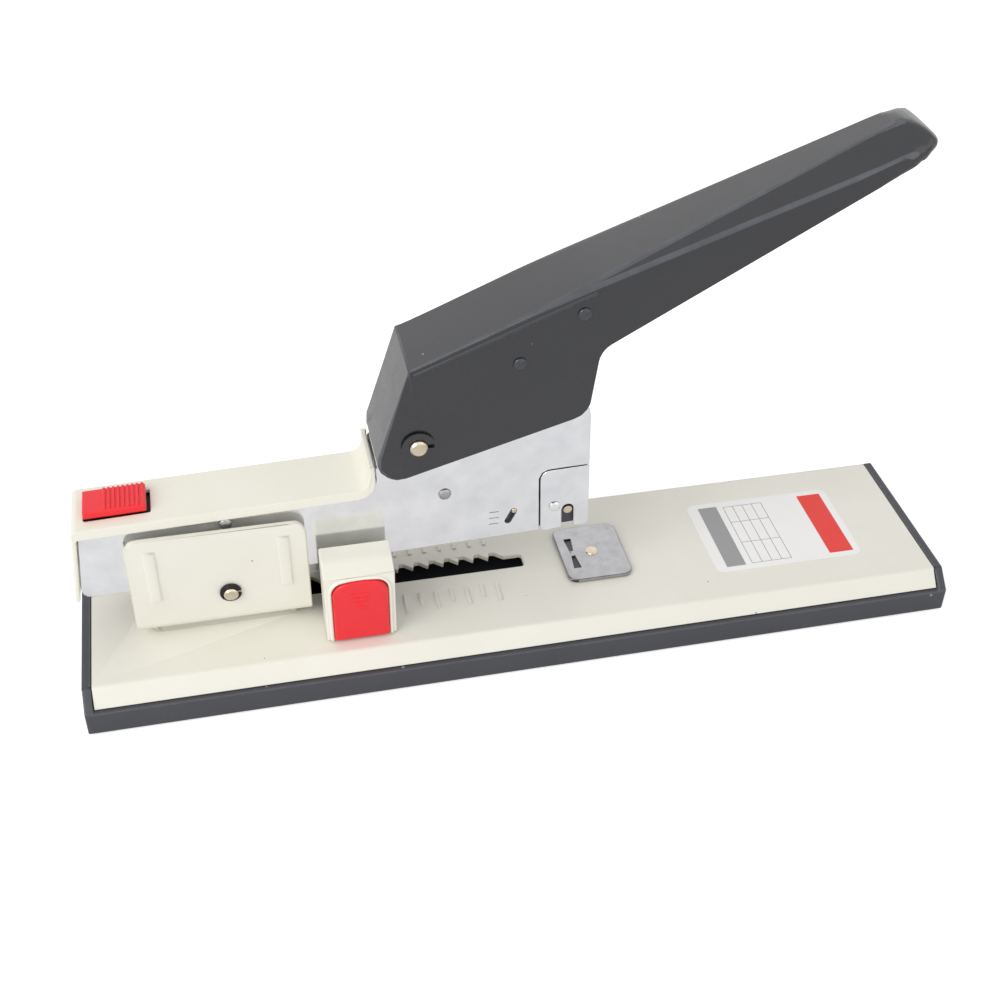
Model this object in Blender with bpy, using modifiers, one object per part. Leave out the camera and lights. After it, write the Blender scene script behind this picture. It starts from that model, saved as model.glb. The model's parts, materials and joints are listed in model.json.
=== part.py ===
"""Heavy duty stapler with a long grip, modelled as an assembly of separate parts.

Lengths are metres. The origin is the middle of the base's underside, +X points along the
base to the end where the paper goes in, +Y to the far side and +Z up. The arm's pieces are
placed in the arm's own axes (along, up), whose zero is the pin that the arm turns on.
"""
import math

import bmesh
import bpy
from mathutils import Matrix, Vector

MM = 0.001

# Fits
GAP = 0.3 * MM
RUN = 0.1 * MM
OVERRUN = 2.0 * MM
WELD = 0.003 * MM

# Base tray and folded cover
BASE_LENGTH = 275.5 * MM
BASE_WIDTH = 70.0 * MM
BASE_HEIGHT = 13.9 * MM
SKIRT_HEIGHT = 8.6 * MM
SKIRT_LEDGE = 1.6 * MM
CREASE_INSET = 6.1 * MM
CREASE_RADIUS = 1.6 * MM
END_WALL = 2.6 * MM
TRAY_WALL = 4.2 * MM
TRAY_FLOOR = 1.8 * MM
COVER_SHEET = 1.5 * MM
FOOT_RADIUS = 7.0 * MM
FOOT_DEPTH = 1.2 * MM
FOOT_STANDOFF = 0.6 * MM
FOOT_INSET = 15.0 * MM
RIB_WIDTH = 1.6 * MM

# Toothed slot and depth scale
TOOTH_PITCH = 5.0 * MM
TOOTH_COUNT = 13
TOOTH_DEPTH = 2.4 * MM
TOOTH_STEEP_SHARE = 0.14
TOOTH_FLAT_SHARE = 0.46
TIP_FROM_ANVIL = 33.9 * MM
SLOT_NEAR = -1.0 * MM
SLOT_FAR = 4.9 * MM
SLOT_RUNOUT = 11.0 * MM
SLOT_END_RADIUS = 0.8 * MM
TICK_WIDTH = 1.1 * MM
TICK_RISE = 0.35 * MM
TICK_LONG = 8.2 * MM
TICK_SHORT = 5.8 * MM
TICK_NEAR = -7.6 * MM
TICK_FAR = 11.6 * MM
TICK_FAR_LENGTH = 2.4 * MM

# Anvil
ANVIL_REACH = 117.1 * MM
ANVIL_LENGTH = 21.4 * MM
ANVIL_WIDTH = 26.0 * MM
ANVIL_THICKNESS = 1.3 * MM
ANVIL_CORNER = 3.0 * MM
GROOVE_INSET = 4.1 * MM
GROOVE_LENGTH = 6.2 * MM
GROOVE_WIDTH = 2.6 * MM
GROOVE_DEPTH = 0.7 * MM
GROOVE_BRIDGE = 2.4 * MM
ANVIL_RIVET_RADIUS = 1.4 * MM
ANVIL_RIVET_HEAD = 2.1 * MM
RIVET_HEAD_HEIGHT = 0.9 * MM

# Pivot bracket
PIVOT_FROM_END = 46.25 * MM
PIVOT_RISE = 16.0 * MM
BRACKET_LENGTH = 53.0 * MM
BRACKET_REAR = 29.0 * MM
BRACKET_HALF = 12.5 * MM
BRACKET_SHEET = 1.5 * MM
BRACKET_BEND = 3.5 * MM
BRACKET_PAD_RISE = 3.0 * MM
EAR_TOP = 23.3 * MM
EAR_CORNER = 4.5 * MM
EAR_RIB_WIDTH = 3.6 * MM
EAR_RIB_LENGTH = 19.0 * MM
EAR_RIB_RISE = 0.6 * MM
EAR_RIB_INSET = 7.0 * MM
EAR_RIB_EDGE_SHARE = 0.8
BRACKET_RIVET_RADIUS = 2.0 * MM
BRACKET_RIVET_HEAD = 3.4 * MM
BRACKET_RIVET_INSET = 9.0 * MM

# Pins, bushes and clips
PIVOT_PIN_RADIUS = 2.2 * MM
HANDLE_PIN_RADIUS = 2.6 * MM
PIN_STANDOUT = 2.2 * MM
PIN_BEVEL_SHARE = 0.2
PIVOT_CLIP_WIDTH = 1.7 * MM
HANDLE_CLIP_WIDTH = 2.3 * MM
CLIP_THICKNESS = 0.6 * MM
CLIP_MOUTH = 1.4 * MM
BUSH_WALL = 1.2 * MM

# Arm frame, in arm axes
ARM_TILT = 1.66
FRAME_HALF = 9.0 * MM
FRAME_WALL = 1.2 * MM
FRAME_REAR_TOP = 40.0 * MM
FRAME_REAR_LOW = 43.4 * MM
FRAME_FRONT = 112.4 * MM
FRAME_LOWER = 2.5 * MM
FRAME_SHOULDER = 27.1 * MM
FRAME_STEP = 47.0 * MM
FRAME_STEP_TOP = 36.2 * MM
FRAME_FILLET = 10.0 * MM
FRAME_CORNER = 3.5 * MM
FRAME_BEND = 3.0 * MM
HEAD_CORNER = 8.0 * MM
LUG_RADIUS = 5.0 * MM
LUG_ROUND_SHARE = 0.98
HANDLE_PIVOT_U = 59.5 * MM
HANDLE_PIVOT_W = 44.4 * MM
HANDLE_LUG = 7.4 * MM
TOP_OPENING_REAR = 16.0 * MM
TOP_OPENING_FRONT = 4.4 * MM
GUIDE_SLOT_U = 87.5 * MM
GUIDE_SLOT_W = 10.0 * MM
GUIDE_SLOT_LENGTH = 6.2 * MM
GUIDE_SLOT_WIDTH = 2.2 * MM
GUIDE_SLOT_RAKE = 62.0
REAR_RIVET_U = 1.7 * MM
REAR_RIVET_W = 23.4 * MM
FRAME_RIVET_U = 67.2 * MM
FRAME_RIVET_W = 22.4 * MM
FRAME_RIVET_RADIUS = 1.4 * MM
FRAME_RIVET_CAP = 2.0 * MM

# Rear cover and its push button
COVER_HALF = 10.2 * MM
COVER_ROOF = 1.6 * MM
COVER_SKIRT = 1.7 * MM
COVER_END = 1.5 * MM
COVER_EDGE_RADIUS = 4.4 * MM
COVER_UPRIGHT_TOP = 10.0 * MM
BUTTON_LENGTH = 18.0 * MM
BUTTON_HALF = 5.1 * MM
BUTTON_REAR = 2.2 * MM
BUTTON_WINDOW_RUN = 0.7 * MM
BUTTON_STANDOUT = 2.6 * MM
BUTTON_TRAVEL = 2.0 * MM
BUTTON_STEM_HALF = 2.4 * MM
BUTTON_LEG_HALF = 1.2 * MM
BUTTON_SHOULDER = 5.6 * MM
BUTTON_RIBS = 9
BUTTON_RIB_RISE = 0.45 * MM
BUTTON_RIBBED_SHARE = 0.68
BUTTON_RIB_SET_SHARE = 0.8
BUTTON_RIB_WIDTH_SHARE = 0.84
BUTTON_RIB_SINK_SHARE = 0.25
LATCH_BRIDGE_SHEET = 1.2 * MM
LATCH_BRIDGE_HALF = 4.5 * MM

# Magazine
CHANNEL_WALL = 0.8 * MM
CHANNEL_HEIGHT = 9.8 * MM
CHANNEL_REAR = 36.0 * MM
HEAD_REAR = 96.9 * MM
HEAD_TOP = 25.4 * MM
HEAD_SEAM = 0.4 * MM
HEAD_EDGE_RADIUS = 3.2 * MM
HEAD_SHEET = 1.2 * MM
HEAD_FOLD_SHARE = 0.8
HEAD_DROP = 0.3 * MM
HEAD_NOTCH_U = 105.7 * MM
HEAD_NOTCH_TOP = 11.4 * MM
HEAD_NOTCH_WIDTH = 3.8 * MM
NOTCH_ROUND_SHARE = 0.95
HEAD_PIN_W = 9.2 * MM
HEAD_PIN_RADIUS = 1.4 * MM
HEAD_RIVET_U = 101.5 * MM
HEAD_RIVET_W = 11.2 * MM
HEAD_RIVET_RADIUS = 1.1 * MM
HEAD_RIVET_CAP = 1.9 * MM
RAIL_HALF = 5.3 * MM
RAIL_SHEET = 0.8 * MM
RAIL_TOP = 8.4 * MM
RAIL_REAR = 20.0 * MM
ROD_RADIUS = 1.0 * MM
ROD_RISE = 5.6 * MM
PUSHER_LENGTH = 16.0 * MM
PUSHER_SET = 4.0 * MM
PUSHER_WEB_HALF = 0.8 * MM
PUSHER_BOSS_HALF = 2.2 * MM
RAIL_SLOT_REAR = 12.0 * MM
RAIL_SLOT_FRONT = 3.0 * MM
END_CAP_THICKNESS = 3.0 * MM

# Driver
BLADE_THICKNESS = 0.9 * MM
BLADE_HALF = 6.4 * MM
BLADE_TIP = 19.8 * MM
CARRIER_HALF = 4.6 * MM
CARRIER_HEIGHT = 14.6 * MM
CARRIER_LENGTH = 15.4 * MM
CARRIER_REAR_WALL = 1.6 * MM
CARRIER_FRONT_WALL = 1.1 * MM
CARRIER_BELOW_SHARE = 0.68
YOKE_ROUND_SHARE = 0.6
DRIVE_RADIUS = 43.6 * MM
DRIVE_ANGLE = 6.2
DRIVE_PIN_RADIUS = 1.9 * MM
ROLLER_RADIUS = 3.1 * MM

# Handle, measured from its own pin with level axes
HANDLE_HALF = 12.5 * MM
HANDLE_SHEET = 1.2 * MM
HANDLE_SLOPE = 23.2
HANDLE_FRONT_SET = 2.1 * MM
HANDLE_FRONT_RISE = 25.6 * MM
HANDLE_NOSE_SET = 15.6 * MM
HANDLE_NOSE_DROP = 15.0 * MM
HANDLE_NOSE_RADIUS = 6.5 * MM
HANDLE_FRONT_WALL_DROP = 5.9 * MM
HANDLE_FLAP_REACH = 51.0 * MM
HANDLE_FLAP_RISE = 4.3 * MM
HANDLE_FLAP_RADIUS = 7.0 * MM
HANDLE_KNEE_REACH = 53.6 * MM
HANDLE_KNEE_RISE = 26.0 * MM
HANDLE_KNEE_RADIUS = 7.0 * MM
GRIP_REACH = 147.6 * MM
GRIP_TIP_RISE = 80.6 * MM
GRIP_TIP_RADIUS = 3.0 * MM
GRIP_SHOULDER_REACH = 140.0 * MM
GRIP_SHOULDER_RADIUS = 6.0 * MM
GRIP_UNDER_REACH = 144.0 * MM
GRIP_UNDER_RISE = 77.2 * MM
GRIP_UNDER_RADIUS = 4.0 * MM
GRIP_END_RADIUS = 8.0 * MM
CHAMFER_START = 34.0 * MM
CHAMFER_DROP = 7.8 * MM
CHAMFER_INSET = 9.5 * MM
RIVET_A = (29.8 * MM, 24.6 * MM)
RIVET_B = (48.0 * MM, 38.9 * MM)
HANDLE_RIVET_RADIUS = 1.5 * MM
HANDLE_RIVET_CAP = 2.1 * MM
DRIVE_ARM_HALF = 6.6 * MM
DRIVE_ARM_SHEET = 1.3 * MM
DRIVE_ARM_REAR = 21.0 * MM
DRIVE_ARM_FRONT = 54.0 * MM
DRIVE_ARM_EYE = 4.2 * MM
EYE_ROUND_SHARE = 0.9
EYE_NECK_SHARE = 1.6
EYE_SET_SHARE = 0.17

# Springs
LIFT_SPRING_RADIUS = 3.6 * MM
LIFT_SPRING_WIRE = 0.5 * MM
LIFT_SPRING_TURNS = 5
LIFT_SPRING_U = 15.0 * MM
SADDLE_SHEET = 1.2 * MM
SADDLE_LENGTH = 12.0 * MM
RETURN_SPRING_RADIUS = 4.0 * MM
RETURN_SPRING_WIRE = 0.55 * MM
RETURN_SPRING_TURNS = 6
RETURN_SPRING_SET = 9.0 * MM
SPRING_PAD_HALF = 5.2 * MM
SPRING_PAD_LEAST = 1.0 * MM
LATCH_SPRING_RADIUS = 2.3 * MM
LATCH_SPRING_WIRE = 0.3 * MM
LATCH_SPRING_TURNS = 4

# Paper stop
STOP_FROM_ANVIL = 79.4 * MM
STOP_LENGTH = 21.3 * MM
STOP_FRONT = 24.0 * MM
STOP_BACK = 12.2 * MM
STOP_HEIGHT = 28.0 * MM
STOP_FLAT = 6.6 * MM
STOP_WALL = 1.9 * MM
STOP_BAY_CORNER = 3.6 * MM
STOP_ARCH_RISE = 2.6 * MM
STOP_BROW = 2.7 * MM
STOP_BROW_RADIUS = 0.6 * MM
STOP_BUTTON_HEIGHT = 22.9 * MM
STOP_BUTTON_DEPTH = 3.0 * MM
STOP_BUTTON_RIBS = 4
STOP_RIB_HALF = 3.6 * MM
STOP_RIB_SHRINK = 0.64 * MM
STOP_RIB_TOP_SHARE = 0.78
STOP_RIB_PITCH = 1.8 * MM
STOP_STEM_HALF = 3.0 * MM
STOP_STEM_LOW = 11.0 * MM
STOP_STEM_HIGH = 15.0 * MM
STOP_STEM_STANDOUT = 0.6 * MM
STOP_CARRIER_HEIGHT = 6.4 * MM
STOP_CARRIER_OVERHANG = 2.6 * MM
STOP_SHOE_LENGTH = 16.0 * MM
STOP_SHOE_HALF = 7.0 * MM
STOP_SHOE_THICKNESS = 1.4 * MM
STOP_NECK_HALF = 1.9 * MM
PAWL_WIDTH = 1.3 * MM
FENCE_HEIGHT = 20.0 * MM

# Mesh fineness
ARC_STEPS = 5
ROUND_STEPS = 20
COIL_STEPS = 10
CAP_STEPS = 4
SMALL_STEPS = 12
FILLET_REACH_SHARE = 0.499
FLAT_ANGLE = 0.5
EDGE_ANGLE = 20.0
SHADE_ANGLE = 35.0
HANDLE_SHADE_ANGLE = 25.0
COIL_SHADE_ANGLE = 60.0

# Colours in linear light: red, green, blue
CREAM = (0.79, 0.77, 0.68)
IVORY = (0.86, 0.84, 0.76)
CHARCOAL = (0.10, 0.10, 0.11)
BLACK = (0.055, 0.055, 0.06)
RED = (0.90, 0.03, 0.05)
NICKEL = (0.72, 0.73, 0.75)
STEEL = (0.55, 0.55, 0.57)
CHAMPAGNE = (0.72, 0.66, 0.58)
DARK_STEEL = (0.16, 0.16, 0.17)
RUBBER_BLACK = (0.03, 0.03, 0.03)

PLASTIC = (0.45, 0.0)
SHINY_PLASTIC = (0.28, 0.0)
PAINT = (0.35, 0.0)
POLISHED = (0.15, 1.0)
SATIN_METAL = (0.35, 1.0)
RUBBER = (0.85, 0.0)

# Places worked out from the sizes
BASE_HALF_LENGTH = BASE_LENGTH / 2
PIVOT_X = PIVOT_FROM_END - BASE_HALF_LENGTH
ANVIL_X = PIVOT_X + ANVIL_REACH
FIRST_TIP = ANVIL_X - TIP_FROM_ANVIL
STOP_X = ANVIL_X - STOP_FROM_ANVIL
BASE_HALF = BASE_WIDTH / 2
PIVOT_Z = BASE_HEIGHT + PIVOT_RISE
BRACKET_SEAT = BASE_HEIGHT + BRACKET_PAD_RISE
FRAME_INNER = FRAME_HALF - FRAME_WALL
CHANNEL_HALF = FRAME_INNER - GAP
CHANNEL_INNER = CHANNEL_HALF - CHANNEL_WALL
CHANNEL_FLOOR = FRAME_LOWER + CHANNEL_WALL
HEAD_TOP_W = HANDLE_PIVOT_W + HANDLE_LUG
BLADE_FRONT = FRAME_FRONT - FRAME_WALL - GAP
BLADE_REAR = BLADE_FRONT - BLADE_THICKNESS
CHANNEL_FRONT = BLADE_REAR - GAP
COVER_TOP = FRAME_SHOULDER + GAP + COVER_ROOF
HANDLE_INNER = HANDLE_HALF - HANDLE_SHEET

PARTS = None
CUTTERS = None


def clear_scene():
    """Remove every object that the file opened with."""
    for item in list(bpy.data.objects):
        bpy.data.objects.remove(item)


def make_collections():
    """One collection for the parts and one for the shapes that cut them."""
    global PARTS, CUTTERS
    PARTS = bpy.data.collections.new("heavy_duty_stapler")
    CUTTERS = bpy.data.collections.new("cutters")
    bpy.context.scene.collection.children.link(PARTS)
    bpy.context.scene.collection.children.link(CUTTERS)


def make_material(name, colour, finish):
    """A Principled material from a colour and a (roughness, metallic) pair."""
    material = bpy.data.materials.new(name)
    material.use_nodes = True
    shader = material.node_tree.nodes["Principled BSDF"]
    shader.inputs["Base Color"].default_value = (*colour, 1.0)
    shader.inputs["Roughness"].default_value = finish[0]
    shader.inputs["Metallic"].default_value = finish[1]
    material.diffuse_color = (*colour, 1.0)
    return material


def fillet(corners, steps=ARC_STEPS):
    """Points of a closed outline whose (x, y, radius) corners are rounded by arcs."""
    points = []
    count = len(corners)
    for index, (x, y, radius) in enumerate(corners):
        here = Vector((x, y))
        before = Vector(corners[index - 1][:2]) - here
        after = Vector(corners[(index + 1) % count][:2]) - here
        if radius <= 0 or before.length == 0 or after.length == 0:
            points.append(here)
            continue
        half_angle = before.angle(after) / 2
        reach = radius / math.tan(half_angle)
        reach = min(reach, before.length * FILLET_REACH_SHARE,
                    after.length * FILLET_REACH_SHARE)
        radius = reach * math.tan(half_angle)
        start = here + before.normalized() * reach
        end = here + after.normalized() * reach
        centre = here + (before.normalized() + after.normalized()).normalized() * (
            radius / math.sin(half_angle))
        first = start - centre
        sweep = first.angle_signed(end - centre)
        for step in range(steps + 1):
            turned = first.copy()
            turned.rotate(Matrix.Rotation(-sweep * step / steps, 2))
            points.append(centre + turned)
    return [(point.x, point.y) for point in points]


def inset(corners, walls):
    """Move each edge of an anticlockwise outline inwards by its wall; rounds follow."""
    count = len(corners)
    lines = []
    for index in range(count):
        start = Vector(corners[index][:2])
        end = Vector(corners[(index + 1) % count][:2])
        along = (end - start).normalized()
        inward = Vector((-along.y, along.x))
        lines.append((start + inward * walls[index], along))
    moved = []
    for index in range(count):
        (point_a, along_a), (point_b, along_b) = lines[index - 1], lines[index]
        cross = along_a.x * along_b.y - along_a.y * along_b.x
        offset = point_b - point_a
        reach = (offset.x * along_b.y - offset.y * along_b.x) / cross
        corner = point_a + along_a * reach
        wall = (walls[index - 1] + walls[index]) / 2
        radius = corners[index][2]
        if radius > 0:
            radius = max(radius - math.copysign(wall, cross), 0) if wall > 0 else 0
        moved.append((corner.x, corner.y, radius))
    return moved


def link(item, name, material, parent=None):
    """Put an object in the parts' collection with its name, material and parent."""
    item.name = name
    if item.data is not None:
        item.data.name = name
        item.data.materials.clear()
        item.data.materials.append(material)
    for collection in list(item.users_collection):
        collection.objects.unlink(item)
    PARTS.objects.link(item)
    item.parent = parent
    return item


def stow_cutter(item):
    """Keep a shape that a Boolean uses up in the cutters' collection, out of renders."""
    for collection in list(item.users_collection):
        collection.objects.unlink(item)
    CUTTERS.objects.link(item)
    item.display_type = "WIRE"
    item.hide_render = True


def plane_axes(plane):
    """World directions of an outline's x, y and depth in the named plane."""
    if plane == "XZ":
        return Matrix(((1, 0, 0), (0, 0, -1), (0, 1, 0))).to_4x4()
    if plane == "YZ":
        return Matrix(((0, 0, 1), (1, 0, 0), (0, 1, 0))).to_4x4()
    return Matrix.Identity(4)


def prism(loops, depth, plane, centre=0.0):
    """A solid with a flat outline (the first loop) and holes (the rest)."""
    curve = bpy.data.curves.new("outline", "CURVE")
    curve.dimensions = "2D"
    curve.fill_mode = "BOTH"
    curve.extrude = depth / 2
    for loop in loops:
        spline = curve.splines.new("POLY")
        spline.points.add(len(loop) - 1)
        for point, (x, y) in zip(spline.points, loop):
            point.co = (x, y, 0.0, 1.0)
        spline.use_cyclic_u = True
    holder = bpy.data.objects.new("outline", curve)
    bpy.context.scene.collection.objects.link(holder)
    depsgraph = bpy.context.evaluated_depsgraph_get()
    mesh = bpy.data.meshes.new_from_object(holder.evaluated_get(depsgraph))
    bpy.data.objects.remove(holder)
    bpy.data.curves.remove(curve)
    shape = bmesh.new()
    shape.from_mesh(mesh)
    bmesh.ops.remove_doubles(shape, verts=shape.verts, dist=WELD)
    bmesh.ops.dissolve_limit(
        shape, angle_limit=math.radians(FLAT_ANGLE), verts=shape.verts, edges=shape.edges)
    shape.transform(plane_axes(plane) @ Matrix.Translation((0, 0, depth_sign(plane) * centre)))
    return solid_object("prism", shape, mesh)


def solid_object(name, shape, mesh=None):
    """A scene object from a closed bmesh, its faces turned outwards."""
    bmesh.ops.recalc_face_normals(shape, faces=shape.faces)
    if shape.calc_volume(signed=True) < 0:
        bmesh.ops.reverse_faces(shape, faces=shape.faces)
    mesh = mesh or bpy.data.meshes.new(name)
    shape.to_mesh(mesh)
    shape.free()
    item = bpy.data.objects.new(name, mesh)
    bpy.context.scene.collection.objects.link(item)
    return item


def depth_sign(plane):
    """The XZ plane's depth runs towards -Y, so its centre is counted the other way."""
    return -1 if plane == "XZ" else 1


def box(x0, x1, y0, y1, z0, z1):
    """A box between six faces, from a unit cube."""
    shape = bmesh.new()
    bmesh.ops.create_cube(shape, size=1.0)
    size = Matrix.Diagonal((x1 - x0, y1 - y0, z1 - z0, 1.0))
    middle = Matrix.Translation(((x0 + x1) / 2, (y0 + y1) / 2, (z0 + z1) / 2))
    shape.transform(middle @ size)
    return solid_object("box", shape)


def cylinder(radius, y0, y1, x, z, steps=ROUND_STEPS, axis="Y"):
    """A round bar between two ends along Y (or Z, where x and z are then x and y)."""
    shape = bmesh.new()
    bmesh.ops.create_cone(
        shape, cap_ends=True, segments=steps, radius1=radius, radius2=radius, depth=y1 - y0)
    middle = (y0 + y1) / 2
    if axis == "Y":
        matrix = Matrix.Translation((x, middle, z)) @ Matrix.Rotation(math.pi / 2, 4, "X")
    elif axis == "X":
        matrix = Matrix.Translation((middle, x, z)) @ Matrix.Rotation(math.pi / 2, 4, "Y")
    else:
        matrix = Matrix.Translation((x, z, middle))
    shape.transform(matrix)
    return solid_object("cylinder", shape)


def combine(target, other, operation):
    """Apply one Boolean between two meshes and drop the second object."""
    stow_cutter(other)
    modifier = target.modifiers.new(operation.lower(), "BOOLEAN")
    modifier.operation = operation
    modifier.solver = "EXACT"
    modifier.object = other
    depsgraph = bpy.context.evaluated_depsgraph_get()
    mesh = bpy.data.meshes.new_from_object(target.evaluated_get(depsgraph))
    target.modifiers.clear()
    target.data = mesh
    bpy.data.objects.remove(other)
    return target


def cut(target, *cutters):
    """Subtract each cutter."""
    for cutter in cutters:
        combine(target, cutter, "DIFFERENCE")
    return target


def join(target, *others):
    """Fuse each solid into the target."""
    for other in others:
        combine(target, other, "UNION")
    return target


def soften(item, radius, chosen, steps=3):
    """Round the edges whose two ends both satisfy a test."""
    shape = bmesh.new()
    shape.from_mesh(item.data)
    edges = [edge for edge in shape.edges if all(chosen(vert.co) for vert in edge.verts)
             and edge.calc_face_angle(0.0) > math.radians(EDGE_ANGLE)]
    bmesh.ops.bevel(
        shape, geom=edges, offset=radius, segments=steps, profile=0.5,
        affect="EDGES", clamp_overlap=True)
    bmesh.ops.remove_doubles(shape, verts=shape.verts, dist=WELD)
    shape.to_mesh(item.data)
    shape.free()
    return item


def smooth(item, angle=SHADE_ANGLE):
    """Shade round faces smooth and keep real edges sharp."""
    item.data.shade_smooth()
    item.data.set_sharp_from_angle(angle=math.radians(angle))
    return item


def turned(profile, steps=ROUND_STEPS):
    """A solid of revolution about Z from (radius, height) points, listed top to bottom."""
    mesh = bpy.data.meshes.new("turned")
    shape = bmesh.new()
    verts = [shape.verts.new((radius, 0.0, height)) for radius, height in profile]
    for start, end in zip(verts, verts[1:]):
        shape.edges.new((start, end))
    shape.to_mesh(mesh)
    shape.free()
    item = bpy.data.objects.new("turned", mesh)
    bpy.context.scene.collection.objects.link(item)
    screw = item.modifiers.new("turn", "SCREW")
    screw.steps = steps
    screw.render_steps = steps
    screw.use_merge_vertices = True
    screw.merge_threshold = WELD
    depsgraph = bpy.context.evaluated_depsgraph_get()
    solid = bpy.data.meshes.new_from_object(item.evaluated_get(depsgraph))
    bpy.data.objects.remove(item)
    shape = bmesh.new()
    shape.from_mesh(solid)
    bmesh.ops.remove_doubles(shape, verts=shape.verts, dist=WELD)
    return solid_object("turned", shape, solid)


def dome_profile(radius, base, height):
    """Points of a low dome from its tip down to its rim."""
    points = []
    for step in range(CAP_STEPS + 1):
        turn = math.pi / 2 * step / CAP_STEPS
        points.append((radius * math.sin(turn), base + height * math.cos(turn)))
    return points


def across(item, u, w):
    """Lay a turned piece across the machine, its axis along Y, at one point."""
    item.data.transform(Matrix.Translation((u, 0, w)) @ Matrix.Rotation(math.pi / 2, 4, "X"))
    return item


def through_rivet(radius, cap, half, u, w):
    """A rivet right across, with a low dome at both ends."""
    rim = half
    profile = dome_profile(cap, rim, RIVET_HEAD_HEIGHT)
    profile += [(cap, rim), (radius, rim), (radius, -rim), (cap, -rim)]
    profile += [(r, -h) for r, h in reversed(dome_profile(cap, rim, RIVET_HEAD_HEIGHT))]
    return across(turned(dedupe(profile)), u, w)


def dedupe(points):
    """Drop a point that repeats the one before it."""
    kept = points[:1]
    for point in points[1:]:
        if abs(point[0] - kept[-1][0]) + abs(point[1] - kept[-1][1]) > WELD:
            kept.append(point)
    return kept


def least_gap(points, wire):
    """Least clear space between stretches of a coil that lie half a turn or more apart."""
    apart = COIL_STEPS // 2
    least = min((points[first] - points[second]).length
                for first in range(len(points)) for second in range(first + apart, len(points)))
    return least - 2 * wire


def coil(radius, wire, turns, length, place):
    """A compression spring that starts at the place and runs along its Z."""
    count = turns * COIL_STEPS
    rise = length - 2 * wire
    points = []
    for index in range(count + 1):
        turn = 2 * math.pi * index / COIL_STEPS
        points.append(Vector((radius * math.cos(turn), radius * math.sin(turn),
                              wire + rise * index / count)))
    print("least gap of the coil to itself, mm:", round(least_gap(points, wire) / MM, 2))
    curve = bpy.data.curves.new("coil", "CURVE")
    curve.dimensions = "3D"
    curve.bevel_depth = wire
    curve.bevel_resolution = 0
    curve.use_fill_caps = True
    spline = curve.splines.new("POLY")
    spline.points.add(count)
    for spot, point in zip(spline.points, points):
        spot.co = (*point, 1.0)
    holder = bpy.data.objects.new("coil", curve)
    bpy.context.scene.collection.objects.link(holder)
    depsgraph = bpy.context.evaluated_depsgraph_get()
    mesh = bpy.data.meshes.new_from_object(holder.evaluated_get(depsgraph))
    bpy.data.objects.remove(holder)
    bpy.data.curves.remove(curve)
    shape = bmesh.new()
    shape.from_mesh(mesh)
    bmesh.ops.remove_doubles(shape, verts=shape.verts, dist=WELD)
    shape.transform(place)
    return smooth(solid_object("coil", shape, mesh), COIL_SHADE_ANGLE)


def axis_empty(name, x, z, tilt=0.0, parent=None):
    """An empty on a joint's axis, which the moving pieces hang from."""
    empty = bpy.data.objects.new(name, None)
    PARTS.objects.link(empty)
    empty.location = (x, 0, z)
    empty.rotation_euler = (0, -math.radians(tilt), 0)
    empty.parent = parent
    return empty


def base_section():
    """Corners of the base's outer section from the near foot over the top to the far."""
    crease = BASE_HALF - CREASE_INSET
    return [(-BASE_HALF, FOOT_STANDOFF, 0), (BASE_HALF, FOOT_STANDOFF, 0),
            (BASE_HALF, SKIRT_HEIGHT, 0), (crease, BASE_HEIGHT, CREASE_RADIUS),
            (-crease, BASE_HEIGHT, CREASE_RADIUS), (-BASE_HALF, SKIRT_HEIGHT, 0)]


def build_tray(materials):
    """The dark tray: floor, skirt, two end walls that follow the cover, and cross ribs."""
    tray = prism([fillet(base_section())], BASE_LENGTH, "YZ")
    inner_length = BASE_HALF_LENGTH - END_WALL
    cut(tray, box(-inner_length, inner_length, -BASE_HALF - OVERRUN, BASE_HALF + OVERRUN,
                  SKIRT_HEIGHT, BASE_HEIGHT + OVERRUN))
    well = BASE_HALF - TRAY_WALL
    well_floor = FOOT_STANDOFF + TRAY_FLOOR
    cut(tray, box(-inner_length, inner_length, -well, well,
                  well_floor, SKIRT_HEIGHT + OVERRUN))
    rib_top = SKIRT_HEIGHT - COVER_SHEET
    for middle in rib_places(inner_length):
        join(tray, box(middle - RIB_WIDTH / 2, middle + RIB_WIDTH / 2, -well - GAP, well + GAP,
                       well_floor - GAP, rib_top))
    for x, y in foot_places():
        cut(tray, cylinder(FOOT_RADIUS + RUN, 0, FOOT_DEPTH, x, y, axis="Z"))
    link(tray, "base_tray", materials["charcoal"])


def rib_places(inner_length):
    """The tray's cross ribs: between the bracket's rivets, ahead of the anvil, and beyond."""
    rear = sum(bracket_rivet_places()) / 2
    ahead = ANVIL_X + ANVIL_LENGTH
    return [rear, ahead, (ahead + inner_length) / 2]


def foot_places():
    """The middle of each rubber foot."""
    x = BASE_HALF_LENGTH - FOOT_INSET
    y = BASE_HALF - FOOT_INSET
    return [(-x, -y), (x, -y), (x, y), (-x, y)]


def build_feet(materials):
    """Four rubber pads set into the tray's floor."""
    for number, (x, y) in enumerate(foot_places(), 1):
        foot = cylinder(FOOT_RADIUS, 0, FOOT_DEPTH - RUN, x, y, axis="Z")
        link(smooth(foot), f"foot_{number}", materials["rubber"])


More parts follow.
